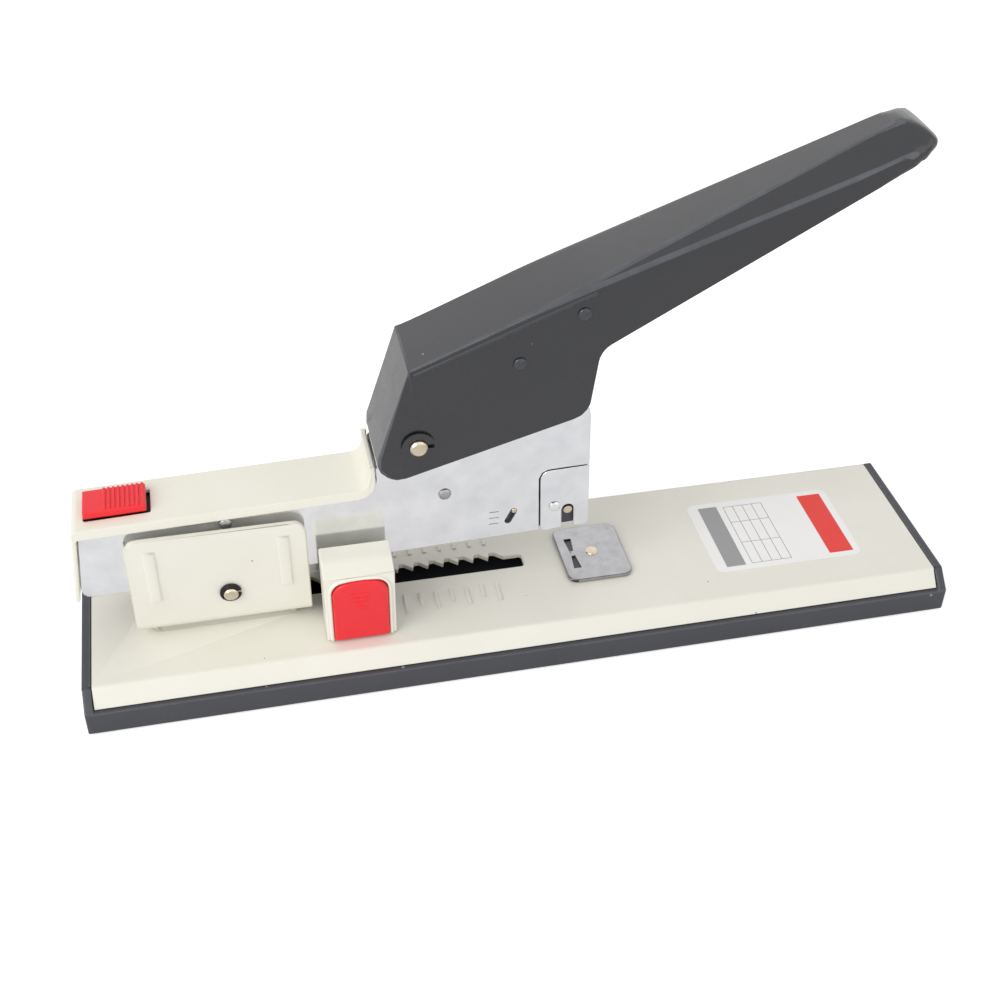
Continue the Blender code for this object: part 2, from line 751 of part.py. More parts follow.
def slot_outline():
    """The slot whose far side has saw teeth; each leans towards the pivot end."""
    last = FIRST_TIP - TOOTH_PITCH * (TOOTH_COUNT - 1)
    points = [(last, SLOT_NEAR), (FIRST_TIP + SLOT_RUNOUT - SLOT_END_RADIUS, SLOT_NEAR)]
    points.append((FIRST_TIP + SLOT_RUNOUT, SLOT_NEAR + SLOT_END_RADIUS))
    points.append((FIRST_TIP + SLOT_RUNOUT, SLOT_FAR - SLOT_END_RADIUS))
    points.append((FIRST_TIP + SLOT_RUNOUT - SLOT_END_RADIUS, SLOT_FAR))
    points.append((FIRST_TIP + TOOTH_PITCH, SLOT_FAR))
    points.append((FIRST_TIP + TOOTH_PITCH * TOOTH_FLAT_SHARE, SLOT_FAR + TOOTH_DEPTH))
    points.append((FIRST_TIP + TOOTH_PITCH * TOOTH_STEEP_SHARE, SLOT_FAR + TOOTH_DEPTH))
    for number in range(TOOTH_COUNT - 1):
        tip = FIRST_TIP - TOOTH_PITCH * number
        foot = tip - TOOTH_PITCH
        points.append((tip, SLOT_FAR))
        points.append((foot + TOOTH_PITCH * TOOTH_FLAT_SHARE, SLOT_FAR + TOOTH_DEPTH))
        points.append((foot + TOOTH_PITCH * TOOTH_STEEP_SHARE, SLOT_FAR + TOOTH_DEPTH))
    points.append((last, SLOT_FAR))
    return points


def build_cover_plate(materials):
    """The cream sheet cover, with its raised seat, toothed slot and depth scale."""
    crease = BASE_HALF - CREASE_INSET
    edge = BASE_HALF - SKIRT_LEDGE
    low = SKIRT_HEIGHT + GAP
    outer = [(-edge, low, 0), (edge, low, 0), (crease, BASE_HEIGHT, CREASE_RADIUS),
             (-crease, BASE_HEIGHT, CREASE_RADIUS)]
    inner = inset(outer, [-OVERRUN, COVER_SHEET, COVER_SHEET, COVER_SHEET])
    length = BASE_LENGTH - 2 * (END_WALL + GAP)
    plate = prism([fillet(outer)], length, "YZ")
    cut(plate, prism([fillet(inner)], length + 2 * OVERRUN, "YZ"))
    seat_half = BRACKET_HALF - BRACKET_BEND
    seat_rear = PIVOT_X - BRACKET_REAR + BRACKET_BEND
    seat_front = PIVOT_X - BRACKET_REAR + BRACKET_LENGTH - BRACKET_BEND
    seat = [(seat_rear, -seat_half, BRACKET_BEND), (seat_front, -seat_half, BRACKET_BEND),
            (seat_front, seat_half, BRACKET_BEND), (seat_rear, seat_half, BRACKET_BEND)]
    seat_depth = BRACKET_PAD_RISE + COVER_SHEET / 2
    join(plate, prism([fillet(seat)], seat_depth, "XY", BRACKET_SEAT - seat_depth / 2))
    cut(plate, prism([slot_outline()], COVER_SHEET * 4, "XY", BASE_HEIGHT))
    for x, y0, y1 in tick_places():
        tick = box(x - TICK_WIDTH / 2, x + TICK_WIDTH / 2, y0, y1,
                   BASE_HEIGHT - COVER_SHEET / 2, BASE_HEIGHT + TICK_RISE)
        join(plate, tick)
    for x in bracket_rivet_places():
        cut(plate, cylinder(BRACKET_RIVET_RADIUS + RUN, BASE_HEIGHT - COVER_SHEET * 2,
                            BRACKET_SEAT + OVERRUN, x, 0, axis="Z"))
    cut(plate, cylinder(ANVIL_RIVET_RADIUS + RUN, BASE_HEIGHT - COVER_SHEET * 2,
                        BASE_HEIGHT + OVERRUN, ANVIL_X, 0, axis="Z"))
    link(smooth(plate), "base_plate", materials["cream"])


def tick_places():
    """Raised scale marks: (x, y start, y end); near ones alternate long and short."""
    places = []
    for number in range(TOOTH_COUNT // 2 + 1):
        x = FIRST_TIP - TOOTH_PITCH * number
        length = TICK_LONG if number % 2 == 0 else TICK_SHORT
        places.append((x, TICK_NEAR - length, TICK_NEAR))
        places.append((x, TICK_FAR, TICK_FAR + TICK_FAR_LENGTH))
    return places


def build_anvil(materials):
    """The rounded anvil plate with two clinch pockets, and the rivet that holds it."""
    half_length = ANVIL_LENGTH / 2
    half_width = ANVIL_WIDTH / 2
    low = BASE_HEIGHT + GAP
    outline = [(ANVIL_X - half_length, -half_width, ANVIL_CORNER),
               (ANVIL_X + half_length, -half_width, ANVIL_CORNER),
               (ANVIL_X + half_length, half_width, ANVIL_CORNER),
               (ANVIL_X - half_length, half_width, ANVIL_CORNER)]
    plate = prism([fillet(outline)], ANVIL_THICKNESS, "XY", low + ANVIL_THICKNESS / 2)
    groove_x = ANVIL_X - half_length + GROOVE_INSET
    top = low + ANVIL_THICKNESS
    for side in (-1, 1):
        start = side * GROOVE_BRIDGE / 2
        end = start + side * GROOVE_LENGTH
        waist = GROOVE_WIDTH / 4
        pocket = [(groove_x - waist, start), (groove_x + waist, start),
                  (groove_x + GROOVE_WIDTH / 2, end), (groove_x - GROOVE_WIDTH / 2, end)]
        if side < 0:
            pocket.reverse()
        cut(plate, prism([pocket], GROOVE_DEPTH * 2, "XY", top))
    cut(plate, cylinder(ANVIL_RIVET_RADIUS + RUN, low - OVERRUN, top + OVERRUN,
                        ANVIL_X, 0, axis="Z"))
    link(smooth(plate), "anvil_plate", materials["steel"])
    under = BASE_HEIGHT - COVER_SHEET - GAP
    head = dome_profile(ANVIL_RIVET_HEAD, top + RUN, RIVET_HEAD_HEIGHT / 2)
    profile = head + [(ANVIL_RIVET_RADIUS, top + RUN), (ANVIL_RIVET_RADIUS, under),
                      (ANVIL_RIVET_HEAD, under), (ANVIL_RIVET_HEAD, under - RIVET_HEAD_HEIGHT),
                      (0, under - RIVET_HEAD_HEIGHT)]
    rivet = turned(dedupe(profile))
    rivet.data.transform(Matrix.Translation((ANVIL_X, 0, 0)))
    link(smooth(rivet), "anvil_rivet", materials["champagne"])


def bracket_rivet_places():
    """Where the two rivets hold the bracket's floor to the cover."""
    rear = PIVOT_X - BRACKET_REAR + BRACKET_RIVET_INSET
    front = PIVOT_X - BRACKET_REAR + BRACKET_LENGTH - BRACKET_RIVET_INSET
    return [rear, front]


def build_bracket(materials):
    """The folded bracket: a floor on the raised seat and two tall ears with ribs."""
    rear = PIVOT_X - BRACKET_REAR
    front = rear + BRACKET_LENGTH
    low = BRACKET_SEAT + GAP
    high = PIVOT_Z + EAR_TOP
    section = [(-BRACKET_HALF, low, BRACKET_BEND), (BRACKET_HALF, low, BRACKET_BEND),
               (BRACKET_HALF, high, 0), (-BRACKET_HALF, high, 0)]
    hollow = inset(section, [BRACKET_SHEET, BRACKET_SHEET, -OVERRUN, BRACKET_SHEET])
    bracket = prism([fillet(section)], BRACKET_LENGTH, "YZ", (rear + front) / 2)
    cut(bracket, prism([fillet(hollow)], BRACKET_LENGTH + OVERRUN, "YZ", (rear + front) / 2))
    side = [(rear, low - OVERRUN, 0), (front, low - OVERRUN, 0), (front, high, EAR_CORNER),
            (rear, high, EAR_CORNER)]
    combine(bracket, prism([fillet(side)], BRACKET_HALF * 3, "XZ"), "INTERSECT")
    for facing in (-1, 1):
        for x in (rear + EAR_RIB_INSET, front - EAR_RIB_INSET):
            rib = box(-EAR_RIB_WIDTH / 2, EAR_RIB_WIDTH / 2,
                      -BRACKET_SHEET / 2, EAR_RIB_RISE, 0, EAR_RIB_LENGTH)
            soften(rib, EAR_RIB_RISE * EAR_RIB_EDGE_SHARE, lambda point: point.y > 0, 1)
            rib.data.transform(Matrix.Translation((x, facing * BRACKET_HALF,
                               high - EAR_CORNER - EAR_RIB_LENGTH))
                               @ Matrix.Rotation(0 if facing > 0 else math.pi, 4, "Z"))
            join(bracket, rib)
        y0, y1 = sorted((facing * (BRACKET_HALF - BRACKET_SHEET - OVERRUN),
                         facing * (BRACKET_HALF + OVERRUN)))
        cut(bracket, cylinder(PIVOT_PIN_RADIUS + RUN, y0, y1, PIVOT_X, PIVOT_Z))
    for x in bracket_rivet_places():
        cut(bracket, cylinder(BRACKET_RIVET_RADIUS + RUN, low - OVERRUN, low + OVERRUN * 2,
                              x, 0, axis="Z"))
    link(smooth(bracket), "pivot_bracket", materials["cream"])
    top = low + BRACKET_SHEET + RUN
    under = BASE_HEIGHT - COVER_SHEET - RUN
    head = BRACKET_RIVET_HEAD
    for name, x in zip(("bracket_rivet_rear", "bracket_rivet_front"), bracket_rivet_places()):
        profile = dome_profile(head, top, RIVET_HEAD_HEIGHT)
        profile += [(BRACKET_RIVET_RADIUS, top), (BRACKET_RIVET_RADIUS, under), (head, under),
                    (head, under - RIVET_HEAD_HEIGHT), (0, under - RIVET_HEAD_HEIGHT)]
        rivet = turned(dedupe(profile))
        rivet.data.transform(Matrix.Translation((x, 0, 0)))
        link(smooth(rivet), name, materials["steel"])


def pin_profile(radius, half):
    """A plain pin with small bevels at both ends."""
    bevel = radius * PIN_BEVEL_SHARE
    return [(0, half), (radius - bevel, half), (radius, half - bevel),
            (radius, bevel - half), (radius - bevel, -half), (0, -half)]


def build_pin(prefix, radius, plate_half, u, w, materials, parent):
    """A pin right across the two outer plates."""
    pin = across(turned(pin_profile(radius, plate_half + PIN_STANDOUT)), u, w)
    link(smooth(pin), f"{prefix}_pin", materials["champagne"], parent)


def build_clips(prefix, radius, width, plate_half, u, w, materials, parent):
    """A C-shaped clip on each end of a pin, its mouth towards the pivot's lower front."""
    for side, facing in (("near", -1), ("far", 1)):
        start = facing * (plate_half + GAP)
        end = start + facing * CLIP_THICKNESS
        y0, y1 = sorted((start, end))
        ring = cylinder(radius + width, y0, y1, u, w)
        cut(ring, cylinder(radius + RUN, y0 - OVERRUN, y1 + OVERRUN, u, w))
        cut(ring, box(u, u + radius + width + OVERRUN, y0 - OVERRUN, y1 + OVERRUN,
                      w - CLIP_MOUTH / 2, w + CLIP_MOUTH / 2))
        link(smooth(ring), f"{prefix}_clip_{side}", materials["black"], parent)


def build_bushes(prefix, radius, inner_half, outer_half, u, w, materials, parent):
    """A spacer bush on each side, between the arm's frame and the outer plate."""
    for side, facing in (("near", -1), ("far", 1)):
        y0, y1 = sorted((facing * (inner_half + GAP), facing * (outer_half - GAP)))
        bush = cylinder(radius + RUN + BUSH_WALL, y0, y1, u, w)
        cut(bush, cylinder(radius + RUN, y0 - OVERRUN, y1 + OVERRUN, u, w))
        link(smooth(bush), f"{prefix}_bush_{side}", materials["steel"], parent)


def rear_edge(height, behind=0.0):
    """Where the arm's leaning rear edge stands at a height, less a set-back behind it."""
    lean = (FRAME_REAR_LOW - FRAME_REAR_TOP) / (FRAME_SHOULDER - FRAME_LOWER)
    return (height - FRAME_LOWER) * lean - FRAME_REAR_LOW - behind


def frame_outline():
    """The arm frame's side view in arm axes, anticlockwise from its lower rear corner."""
    lug_left = HANDLE_PIVOT_U - HANDLE_LUG
    head_rear = HEAD_REAR - HEAD_SEAM
    head_top = HEAD_TOP + HEAD_SEAM
    return [(rear_edge(FRAME_LOWER), FRAME_LOWER, FRAME_CORNER), (head_rear, FRAME_LOWER, 0),
            (head_rear, head_top, FRAME_CORNER), (FRAME_FRONT, head_top, 0),
            (FRAME_FRONT, HEAD_TOP_W, HEAD_CORNER), (lug_left, HEAD_TOP_W, HANDLE_LUG),
            (lug_left, FRAME_STEP_TOP, FRAME_WALL), (FRAME_STEP, FRAME_STEP_TOP, FRAME_WALL),
            (FRAME_STEP, FRAME_SHOULDER, FRAME_FILLET),
            (rear_edge(FRAME_SHOULDER), FRAME_SHOULDER, FRAME_CORNER)]


def build_frame(materials, arm):
    """The folded steel frame: one hood with two side plates, lugs, slots and holes."""
    outline = frame_outline()
    wall = FRAME_WALL
    hollow = inset(outline, [-OVERRUN, -OVERRUN, -OVERRUN, wall, wall, wall, wall, wall,
                             wall, -OVERRUN])
    frame = prism([fillet(outline)], 2 * FRAME_HALF, "XZ")
    soften(frame, FRAME_BEND, lambda point: on_roof(point, FRAME_HALF, 0), 3)
    lug_height = FRAME_LOWER + FRAME_CORNER
    for facing in (-1, 1):
        middle = facing * (FRAME_HALF - FRAME_WALL / 2)
        lug = prism([fillet([(-LUG_RADIUS, -LUG_RADIUS, LUG_RADIUS * LUG_ROUND_SHARE),
                             (LUG_RADIUS, -LUG_RADIUS, LUG_RADIUS * LUG_ROUND_SHARE),
                             (LUG_RADIUS * 2, lug_height, 0), (-LUG_RADIUS * 2, lug_height, 0)])],
                    FRAME_WALL, "XZ", middle)
        join(frame, lug)
    inside = prism([fillet(hollow)], 2 * FRAME_INNER, "XZ")
    soften(inside, FRAME_BEND - wall, lambda point: on_roof(point, FRAME_INNER, wall), 3)
    cut(frame, inside)
    across_all = (-FRAME_HALF - OVERRUN, FRAME_HALF + OVERRUN)
    cut(frame, cylinder(PIVOT_PIN_RADIUS + RUN, *across_all, 0, 0))
    cut(frame, cylinder(HANDLE_PIN_RADIUS + RUN, *across_all, HANDLE_PIVOT_U, HANDLE_PIVOT_W))
    cut(frame, cylinder(FRAME_RIVET_RADIUS + RUN, *across_all, REAR_RIVET_U, REAR_RIVET_W))
    cut(frame, cylinder(FRAME_RIVET_RADIUS + RUN, *across_all, FRAME_RIVET_U, FRAME_RIVET_W))
    opening_rear = HANDLE_PIVOT_U + TOP_OPENING_REAR
    opening_front = FRAME_FRONT - FRAME_WALL
    cut(frame, box(opening_rear, opening_front, -FRAME_INNER, FRAME_INNER,
                   HEAD_TOP_W - TOP_OPENING_FRONT, HEAD_TOP_W + OVERRUN))
    cut(frame, guide_slot_cutter())
    stem = BUTTON_STEM_HALF + GAP
    button_middle = BUTTON_REAR + BUTTON_LENGTH / 2 - FRAME_REAR_TOP
    cut(frame, box(button_middle - stem, button_middle + stem, -stem, stem,
                   FRAME_SHOULDER - FRAME_WALL - OVERRUN, FRAME_SHOULDER + OVERRUN))
    join(frame, saddle(), latch_bridge(button_middle))
    link(smooth(frame), "arm_frame", materials["nickel"], arm)


def on_roof(point, half, sink):
    """Whether a corner lies on the rear roof's two long edges."""
    on_side = abs(abs(point.y) - half) < GAP / 10
    level = FRAME_SHOULDER - sink - GAP < point.z < FRAME_STEP_TOP - GAP
    return on_side and level and point.x < FRAME_STEP + FRAME_WALL


def guide_slot_cutter():
    """The slanted slot near the head, through both side plates."""
    half = GUIDE_SLOT_WIDTH / 2
    reach = GUIDE_SLOT_LENGTH / 2
    outline = [(-reach, -half, half), (reach, -half, half), (reach, half, half),
               (-reach, half, half)]
    cutter = prism([fillet(outline)], 2 * (FRAME_HALF + OVERRUN), "XZ")
    cutter.data.transform(Matrix.Translation((GUIDE_SLOT_U, 0, GUIDE_SLOT_W))
                          @ Matrix.Rotation(-math.radians(GUIDE_SLOT_RAKE), 4, "Y"))
    return cutter


def saddle():
    """The cross strap under the magazine that the lift spring pushes on."""
    start = LIFT_SPRING_U - SADDLE_LENGTH / 2
    end = start + SADDLE_LENGTH
    low = FRAME_LOWER - SADDLE_SHEET - GAP
    strap = box(start, end, -FRAME_HALF, FRAME_HALF, low, FRAME_LOWER - GAP)
    sides = []
    for facing in (-1, 1):
        y0, y1 = sorted((facing * FRAME_INNER, facing * FRAME_HALF))
        sides.append(box(start, end, y0, y1, low, FRAME_LOWER + FRAME_CORNER))
    return join(strap, *sides)


def latch_bridge(middle):
    """The strap inside the frame that carries the push button's spring, with the leg's hole."""
    low = bridge_top() - LATCH_BRIDGE_SHEET
    half = FRAME_HALF - FRAME_WALL / 2
    bridge = box(middle - LATCH_BRIDGE_HALF, middle + LATCH_BRIDGE_HALF, -half, half, low,
                 bridge_top())
    leg = BUTTON_LEG_HALF + GAP
    return cut(bridge, box(middle - leg, middle + leg, -leg, leg, low - OVERRUN,
                           bridge_top() + OVERRUN))


def bridge_top():
    """Height of the strap that the push button's spring stands on."""
    return FRAME_LOWER + CHANNEL_HEIGHT + BUTTON_TRAVEL + LATCH_BRIDGE_SHEET + GAP


def cover_outline():
    """The rear cover's side view in arm axes, anticlockwise from its lower rear corner."""
    behind = GAP + COVER_END
    edge = FRAME_SHOULDER - COVER_SKIRT
    face = FRAME_STEP - GAP
    top = FRAME_SHOULDER + COVER_UPRIGHT_TOP
    outer_fillet = FRAME_FILLET + GAP + COVER_SKIRT
    return [(rear_edge(edge, behind), edge, 0), (face, edge, outer_fillet), (face, top, 0),
            (face - COVER_END, top, 0),
            (face - COVER_END, COVER_TOP, FRAME_FILLET - GAP - COVER_ROOF),
            (rear_edge(COVER_TOP, behind), COVER_TOP, COVER_EDGE_RADIUS)]


def build_rear_cover(materials, arm):
    """The ivory shell over the arm's rear: rounded roof, tail wall and curled-up front."""
    cover = prism([fillet(cover_outline())], 2 * COVER_HALF, "XZ")
    tail = [(rear_edge(FRAME_LOWER, GAP + COVER_END), FRAME_LOWER),
            (rear_edge(FRAME_LOWER, GAP), FRAME_LOWER),
            (rear_edge(FRAME_SHOULDER, GAP), FRAME_SHOULDER),
            (rear_edge(FRAME_SHOULDER, GAP + COVER_END), FRAME_SHOULDER)]
    join(cover, prism([tail], 2 * COVER_HALF, "XZ"))
    soften(cover, COVER_EDGE_RADIUS, cover_edge, 4)
    low = FRAME_LOWER - OVERRUN
    high = FRAME_STEP_TOP + OVERRUN
    frame_space = [(rear_edge(low, GAP), low, 0), (FRAME_STEP + OVERRUN, low, 0),
                   (FRAME_STEP + OVERRUN, high, 0), (FRAME_STEP - GAP, high, 0),
                   (FRAME_STEP - GAP, FRAME_SHOULDER + GAP, FRAME_FILLET - GAP),
                   (rear_edge(FRAME_SHOULDER + GAP, GAP), FRAME_SHOULDER + GAP, FRAME_CORNER)]
    space = prism([fillet(frame_space)], 2 * (FRAME_HALF + GAP), "XZ")
    soften(space, FRAME_BEND, lambda point: on_roof(point, FRAME_HALF + GAP, 0), 3)
    cut(cover, space)
    half = BUTTON_HALF + GAP
    start = BUTTON_REAR - FRAME_REAR_TOP - GAP
    end = start + BUTTON_LENGTH + 2 * GAP + BUTTON_WINDOW_RUN
    cut(cover, box(start, end, -half, half, FRAME_SHOULDER, COVER_TOP + OVERRUN))
    link(smooth(cover), "rear_cover", materials["ivory"], arm)


def cover_edge(point):
    """Whether a corner lies on the cover's two long upper edges."""
    on_side = abs(abs(point.y) - COVER_HALF) < GAP / 10
    return on_side and point.z > FRAME_SHOULDER + GAP and point.x < FRAME_STEP - COVER_END / 2


def build_push_button(materials, arm):
    """The red button on the cover: flat rear third, ribbed front, stem and thin leg."""
    start = BUTTON_REAR - FRAME_REAR_TOP
    end = start + BUTTON_LENGTH
    top = COVER_TOP + BUTTON_STANDOUT
    low = FRAME_SHOULDER + BUTTON_TRAVEL + GAP
    button = box(start, end, -BUTTON_HALF, BUTTON_HALF, low, top)
    soften(button, BUTTON_RIB_RISE * 2, lambda point: point.z > top - GAP, 2)
    spacing = BUTTON_LENGTH * BUTTON_RIBBED_SHARE / BUTTON_RIBS
    reach = BUTTON_HALF * BUTTON_RIB_WIDTH_SHARE
    for number in range(BUTTON_RIBS):
        x = end - spacing * (number + BUTTON_RIB_SET_SHARE)
        rib = cylinder(BUTTON_RIB_RISE, -reach, reach, x,
                       top - BUTTON_RIB_RISE * BUTTON_RIB_SINK_SHARE, steps=8)
        join(button, rib)
    middle = (start + end) / 2
    half = BUTTON_STEM_HALF
    leg = BUTTON_LEG_HALF
    shoulder = bridge_top() + BUTTON_SHOULDER
    leg_low = FRAME_LOWER + CHANNEL_HEIGHT + BUTTON_TRAVEL
    join(button, box(middle - half, middle + half, -half, half, shoulder, low + GAP),
         box(middle - leg, middle + leg, -leg, leg, leg_low, shoulder + GAP))
    link(smooth(button), "push_button", materials["red"], arm)
    length = BUTTON_SHOULDER - 2 * RUN
    spring = coil(LATCH_SPRING_RADIUS, LATCH_SPRING_WIRE, LATCH_SPRING_TURNS, length,
                  Matrix.Translation((middle, 0, bridge_top() + RUN)))
    link(spring, "latch_spring", materials["steel"], arm)


def build_channel(materials, arm):
    """The magazine's folded channel, open on top, with a closed rear end."""
    low = FRAME_LOWER
    high = low + CHANNEL_HEIGHT
    section = [(-CHANNEL_HALF, low, CHANNEL_WALL), (CHANNEL_HALF, low, CHANNEL_WALL),
               (CHANNEL_HALF, high, 0), (-CHANNEL_HALF, high, 0)]
    hollow = inset(section, [CHANNEL_WALL, CHANNEL_WALL, -OVERRUN, CHANNEL_WALL])
    length = CHANNEL_FRONT + CHANNEL_REAR
    middle = (CHANNEL_FRONT - CHANNEL_REAR) / 2
    channel = prism([fillet(section, 2)], length, "YZ", middle)
    cut(channel, prism([fillet(hollow, 2)], length + OVERRUN, "YZ", middle))
    for facing in (-1, 1):
        y0, y1 = sorted((facing * (CHANNEL_INNER - OVERRUN), facing * (CHANNEL_HALF + OVERRUN)))
        cut(channel, cylinder(HEAD_RIVET_RADIUS + RUN, y0, y1, HEAD_RIVET_U, HEAD_RIVET_W,
                              steps=SMALL_STEPS))
        cut(channel, cylinder(HEAD_PIN_RADIUS + RUN, y0, y1, HEAD_NOTCH_U, HEAD_PIN_W,
                              steps=SMALL_STEPS))
    link(channel, "magazine_channel", materials["steel"], arm)


def build_head_plate(materials, arm):
    """The head: sheet wrapped round the magazine's front, with a notch on each side."""
    low = FRAME_LOWER - HEAD_DROP
    side = [(HEAD_REAR, low, HEAD_EDGE_RADIUS / 2), (FRAME_FRONT, low, HEAD_EDGE_RADIUS / 2),
            (FRAME_FRONT, HEAD_TOP, 0), (HEAD_REAR, HEAD_TOP, HEAD_EDGE_RADIUS)]
    head = prism([fillet(side)], 2 * FRAME_HALF, "XZ")
    cut(head, box(HEAD_REAR - OVERRUN, FRAME_FRONT - HEAD_SHEET, -FRAME_INNER, FRAME_INNER,
                  low - OVERRUN, HEAD_TOP + OVERRUN))
    soften(head, HEAD_SHEET * HEAD_FOLD_SHARE, lambda point: abs(point.x - FRAME_FRONT) < GAP / 10
           and abs(abs(point.y) - FRAME_HALF) < GAP / 10, 2)
    half = HEAD_NOTCH_WIDTH / 2
    notch = [(HEAD_NOTCH_U - half, low - OVERRUN, 0), (HEAD_NOTCH_U + half, low - OVERRUN, 0),
             (HEAD_NOTCH_U + half, HEAD_NOTCH_TOP, half * NOTCH_ROUND_SHARE),
             (HEAD_NOTCH_U - half, HEAD_NOTCH_TOP, half * NOTCH_ROUND_SHARE)]
    cut(head, prism([fillet(notch)], 2 * (FRAME_HALF + OVERRUN), "XZ"))
    cut(head, cylinder(HEAD_RIVET_RADIUS + RUN, -FRAME_HALF - OVERRUN, FRAME_HALF + OVERRUN,
                       HEAD_RIVET_U, HEAD_RIVET_W, steps=SMALL_STEPS))
    link(smooth(head), "head_plate", materials["nickel"], arm)


def build_head_fasteners(materials, arm):
    """Short rivets that hold the head to the channel, and the locating pins in its notches."""
    inner = CHANNEL_INNER + GAP
    outer = FRAME_HALF + RUN
    for side, facing in (("near", -1), ("far", 1)):
        profile = dome_profile(HEAD_RIVET_CAP, outer, RIVET_HEAD_HEIGHT)
        profile += [(HEAD_RIVET_RADIUS, outer), (HEAD_RIVET_RADIUS, inner), (0, inner)]
        rivet = turned(dedupe(profile), SMALL_STEPS)
        rivet.data.transform(Matrix.Rotation(0 if facing < 0 else math.pi, 4, "X"))
        link(smooth(across(rivet, HEAD_RIVET_U, HEAD_RIVET_W)), f"head_rivet_{side}",
             materials["nickel"], arm)
        profile = [(0, outer), (HEAD_PIN_RADIUS, outer), (HEAD_PIN_RADIUS, inner), (0, inner)]
        pin = turned(profile, SMALL_STEPS)
        pin.data.transform(Matrix.Rotation(0 if facing < 0 else math.pi, 4, "X"))
        link(smooth(across(pin, HEAD_NOTCH_U, HEAD_PIN_W)), f"head_pin_{side}",
             materials["champagne"], arm)


def build_rail(materials, arm):
    """The inner rail that the staples straddle: an upturned channel on the floor."""
    low = CHANNEL_FLOOR + RUN
    high = low + RAIL_TOP
    section = [(-RAIL_HALF, low, 0), (RAIL_HALF, low, 0), (RAIL_HALF, high, RAIL_SHEET),
               (-RAIL_HALF, high, RAIL_SHEET)]
    hollow = inset(section, [-OVERRUN, RAIL_SHEET, RAIL_SHEET, RAIL_SHEET])
    length = CHANNEL_FRONT + RAIL_REAR
    middle = (CHANNEL_FRONT - RAIL_REAR) / 2
    rail = prism([fillet(section, 2)], length, "YZ", middle)
    cut(rail, prism([fillet(hollow, 2)], length + OVERRUN, "YZ", middle))
    slot = PUSHER_WEB_HALF + GAP
    cut(rail, box(RAIL_SLOT_REAR - RAIL_REAR, CHANNEL_FRONT - RAIL_SLOT_FRONT, -slot, slot,
                  high - RAIL_SHEET - OVERRUN, high + OVERRUN))
    link(rail, "staple_rail", materials["steel"], arm)


def build_pusher_set(materials, arm):
    """The rod inside the rail, the pusher that rides on both, and the magazine's end cap."""
    rod_w = CHANNEL_FLOOR + ROD_RISE
    cap_rear = -CHANNEL_REAR
    cap_front = cap_rear + END_CAP_THICKNESS
    half = CHANNEL_INNER - GAP
    cap = box(cap_rear, cap_front, -half, half, CHANNEL_FLOOR + RUN,
              FRAME_LOWER + CHANNEL_HEIGHT)
    cut(cap, cylinder(ROD_RADIUS + RUN, cap_rear - OVERRUN, cap_front + OVERRUN, 0, rod_w,
                      steps=SMALL_STEPS, axis="X"))
    link(cap, "magazine_end_cap", materials["charcoal"], arm)
    rod_end = CHANNEL_FRONT - RAIL_SLOT_FRONT
    rod = cylinder(ROD_RADIUS, cap_rear, rod_end, 0, rod_w, steps=SMALL_STEPS, axis="X")
    link(smooth(rod), "guide_rod", materials["steel"], arm)
    low = CHANNEL_FLOOR + RUN + RAIL_TOP + GAP
    high = low + RAIL_SHEET
    lane = RAIL_HALF + GAP
    outer = CHANNEL_INNER - GAP
    end = CHANNEL_FRONT - PUSHER_SET
    start = end - PUSHER_LENGTH
    pusher = box(start, end, -outer, outer, CHANNEL_FLOOR + GAP, high)
    cut(pusher, box(start - OVERRUN, end + OVERRUN, -lane, lane, CHANNEL_FLOOR - OVERRUN, low))
    boss = PUSHER_BOSS_HALF
    join(pusher, box(start, end, -PUSHER_WEB_HALF, PUSHER_WEB_HALF, rod_w, low + GAP),
         box(start, end, -boss, boss, rod_w - boss, rod_w + boss / 2))
    cut(pusher, cylinder(ROD_RADIUS + RUN, start - OVERRUN, end + OVERRUN, 0, rod_w,
                         steps=SMALL_STEPS, axis="X"))
    link(pusher, "pusher", materials["dark_steel"], arm)


def build_driver(materials, arm):
    """The driver blade at the very front and the carrier block that moves it."""
    pin_w = drive_pin_height()
    blade_top = HEAD_TOP_W - HEAD_CORNER
    blade = box(BLADE_REAR, BLADE_FRONT, -BLADE_HALF, BLADE_HALF, BLADE_TIP, blade_top)
    link(blade, "driver_blade", materials["steel"], arm)
    front = BLADE_REAR - RUN
    rear = front - CARRIER_LENGTH
    low = pin_w - CARRIER_HEIGHT * CARRIER_BELOW_SHARE
    high = low + CARRIER_HEIGHT
    outline = [(rear, low, 2 * RAIL_SHEET), (front, low, 0), (front, high, 0),
               (rear, high, 2 * RAIL_SHEET)]
    carrier = prism([fillet(outline)], 2 * CARRIER_HALF, "XZ")
    slot = ROLLER_RADIUS + RUN * 2
    corner = slot * YOKE_ROUND_SHARE
    slot_rear = rear + CARRIER_REAR_WALL
    slot_front = front - CARRIER_FRONT_WALL
    lane = [(slot_rear, pin_w - slot, corner), (slot_front, pin_w - slot, corner),
            (slot_front, pin_w + slot, corner), (slot_rear, pin_w + slot, corner)]
    cut(carrier, prism([fillet(lane)], 2 * (CARRIER_HALF + OVERRUN), "XZ"))
    link(carrier, "driver_carrier", materials["dark_steel"], arm)


def drive_pin_height():
    """The drive pin's rest height in arm axes."""
    return HANDLE_PIVOT_W + DRIVE_RADIUS * math.sin(math.radians(DRIVE_ANGLE - ARM_TILT))


def handle_top(x):
    """Height of the handle's top line above its pin, at a reach from the pin."""
    slope = math.tan(math.radians(HANDLE_SLOPE))
    return HANDLE_FRONT_RISE + (x + HANDLE_FRONT_SET) * slope


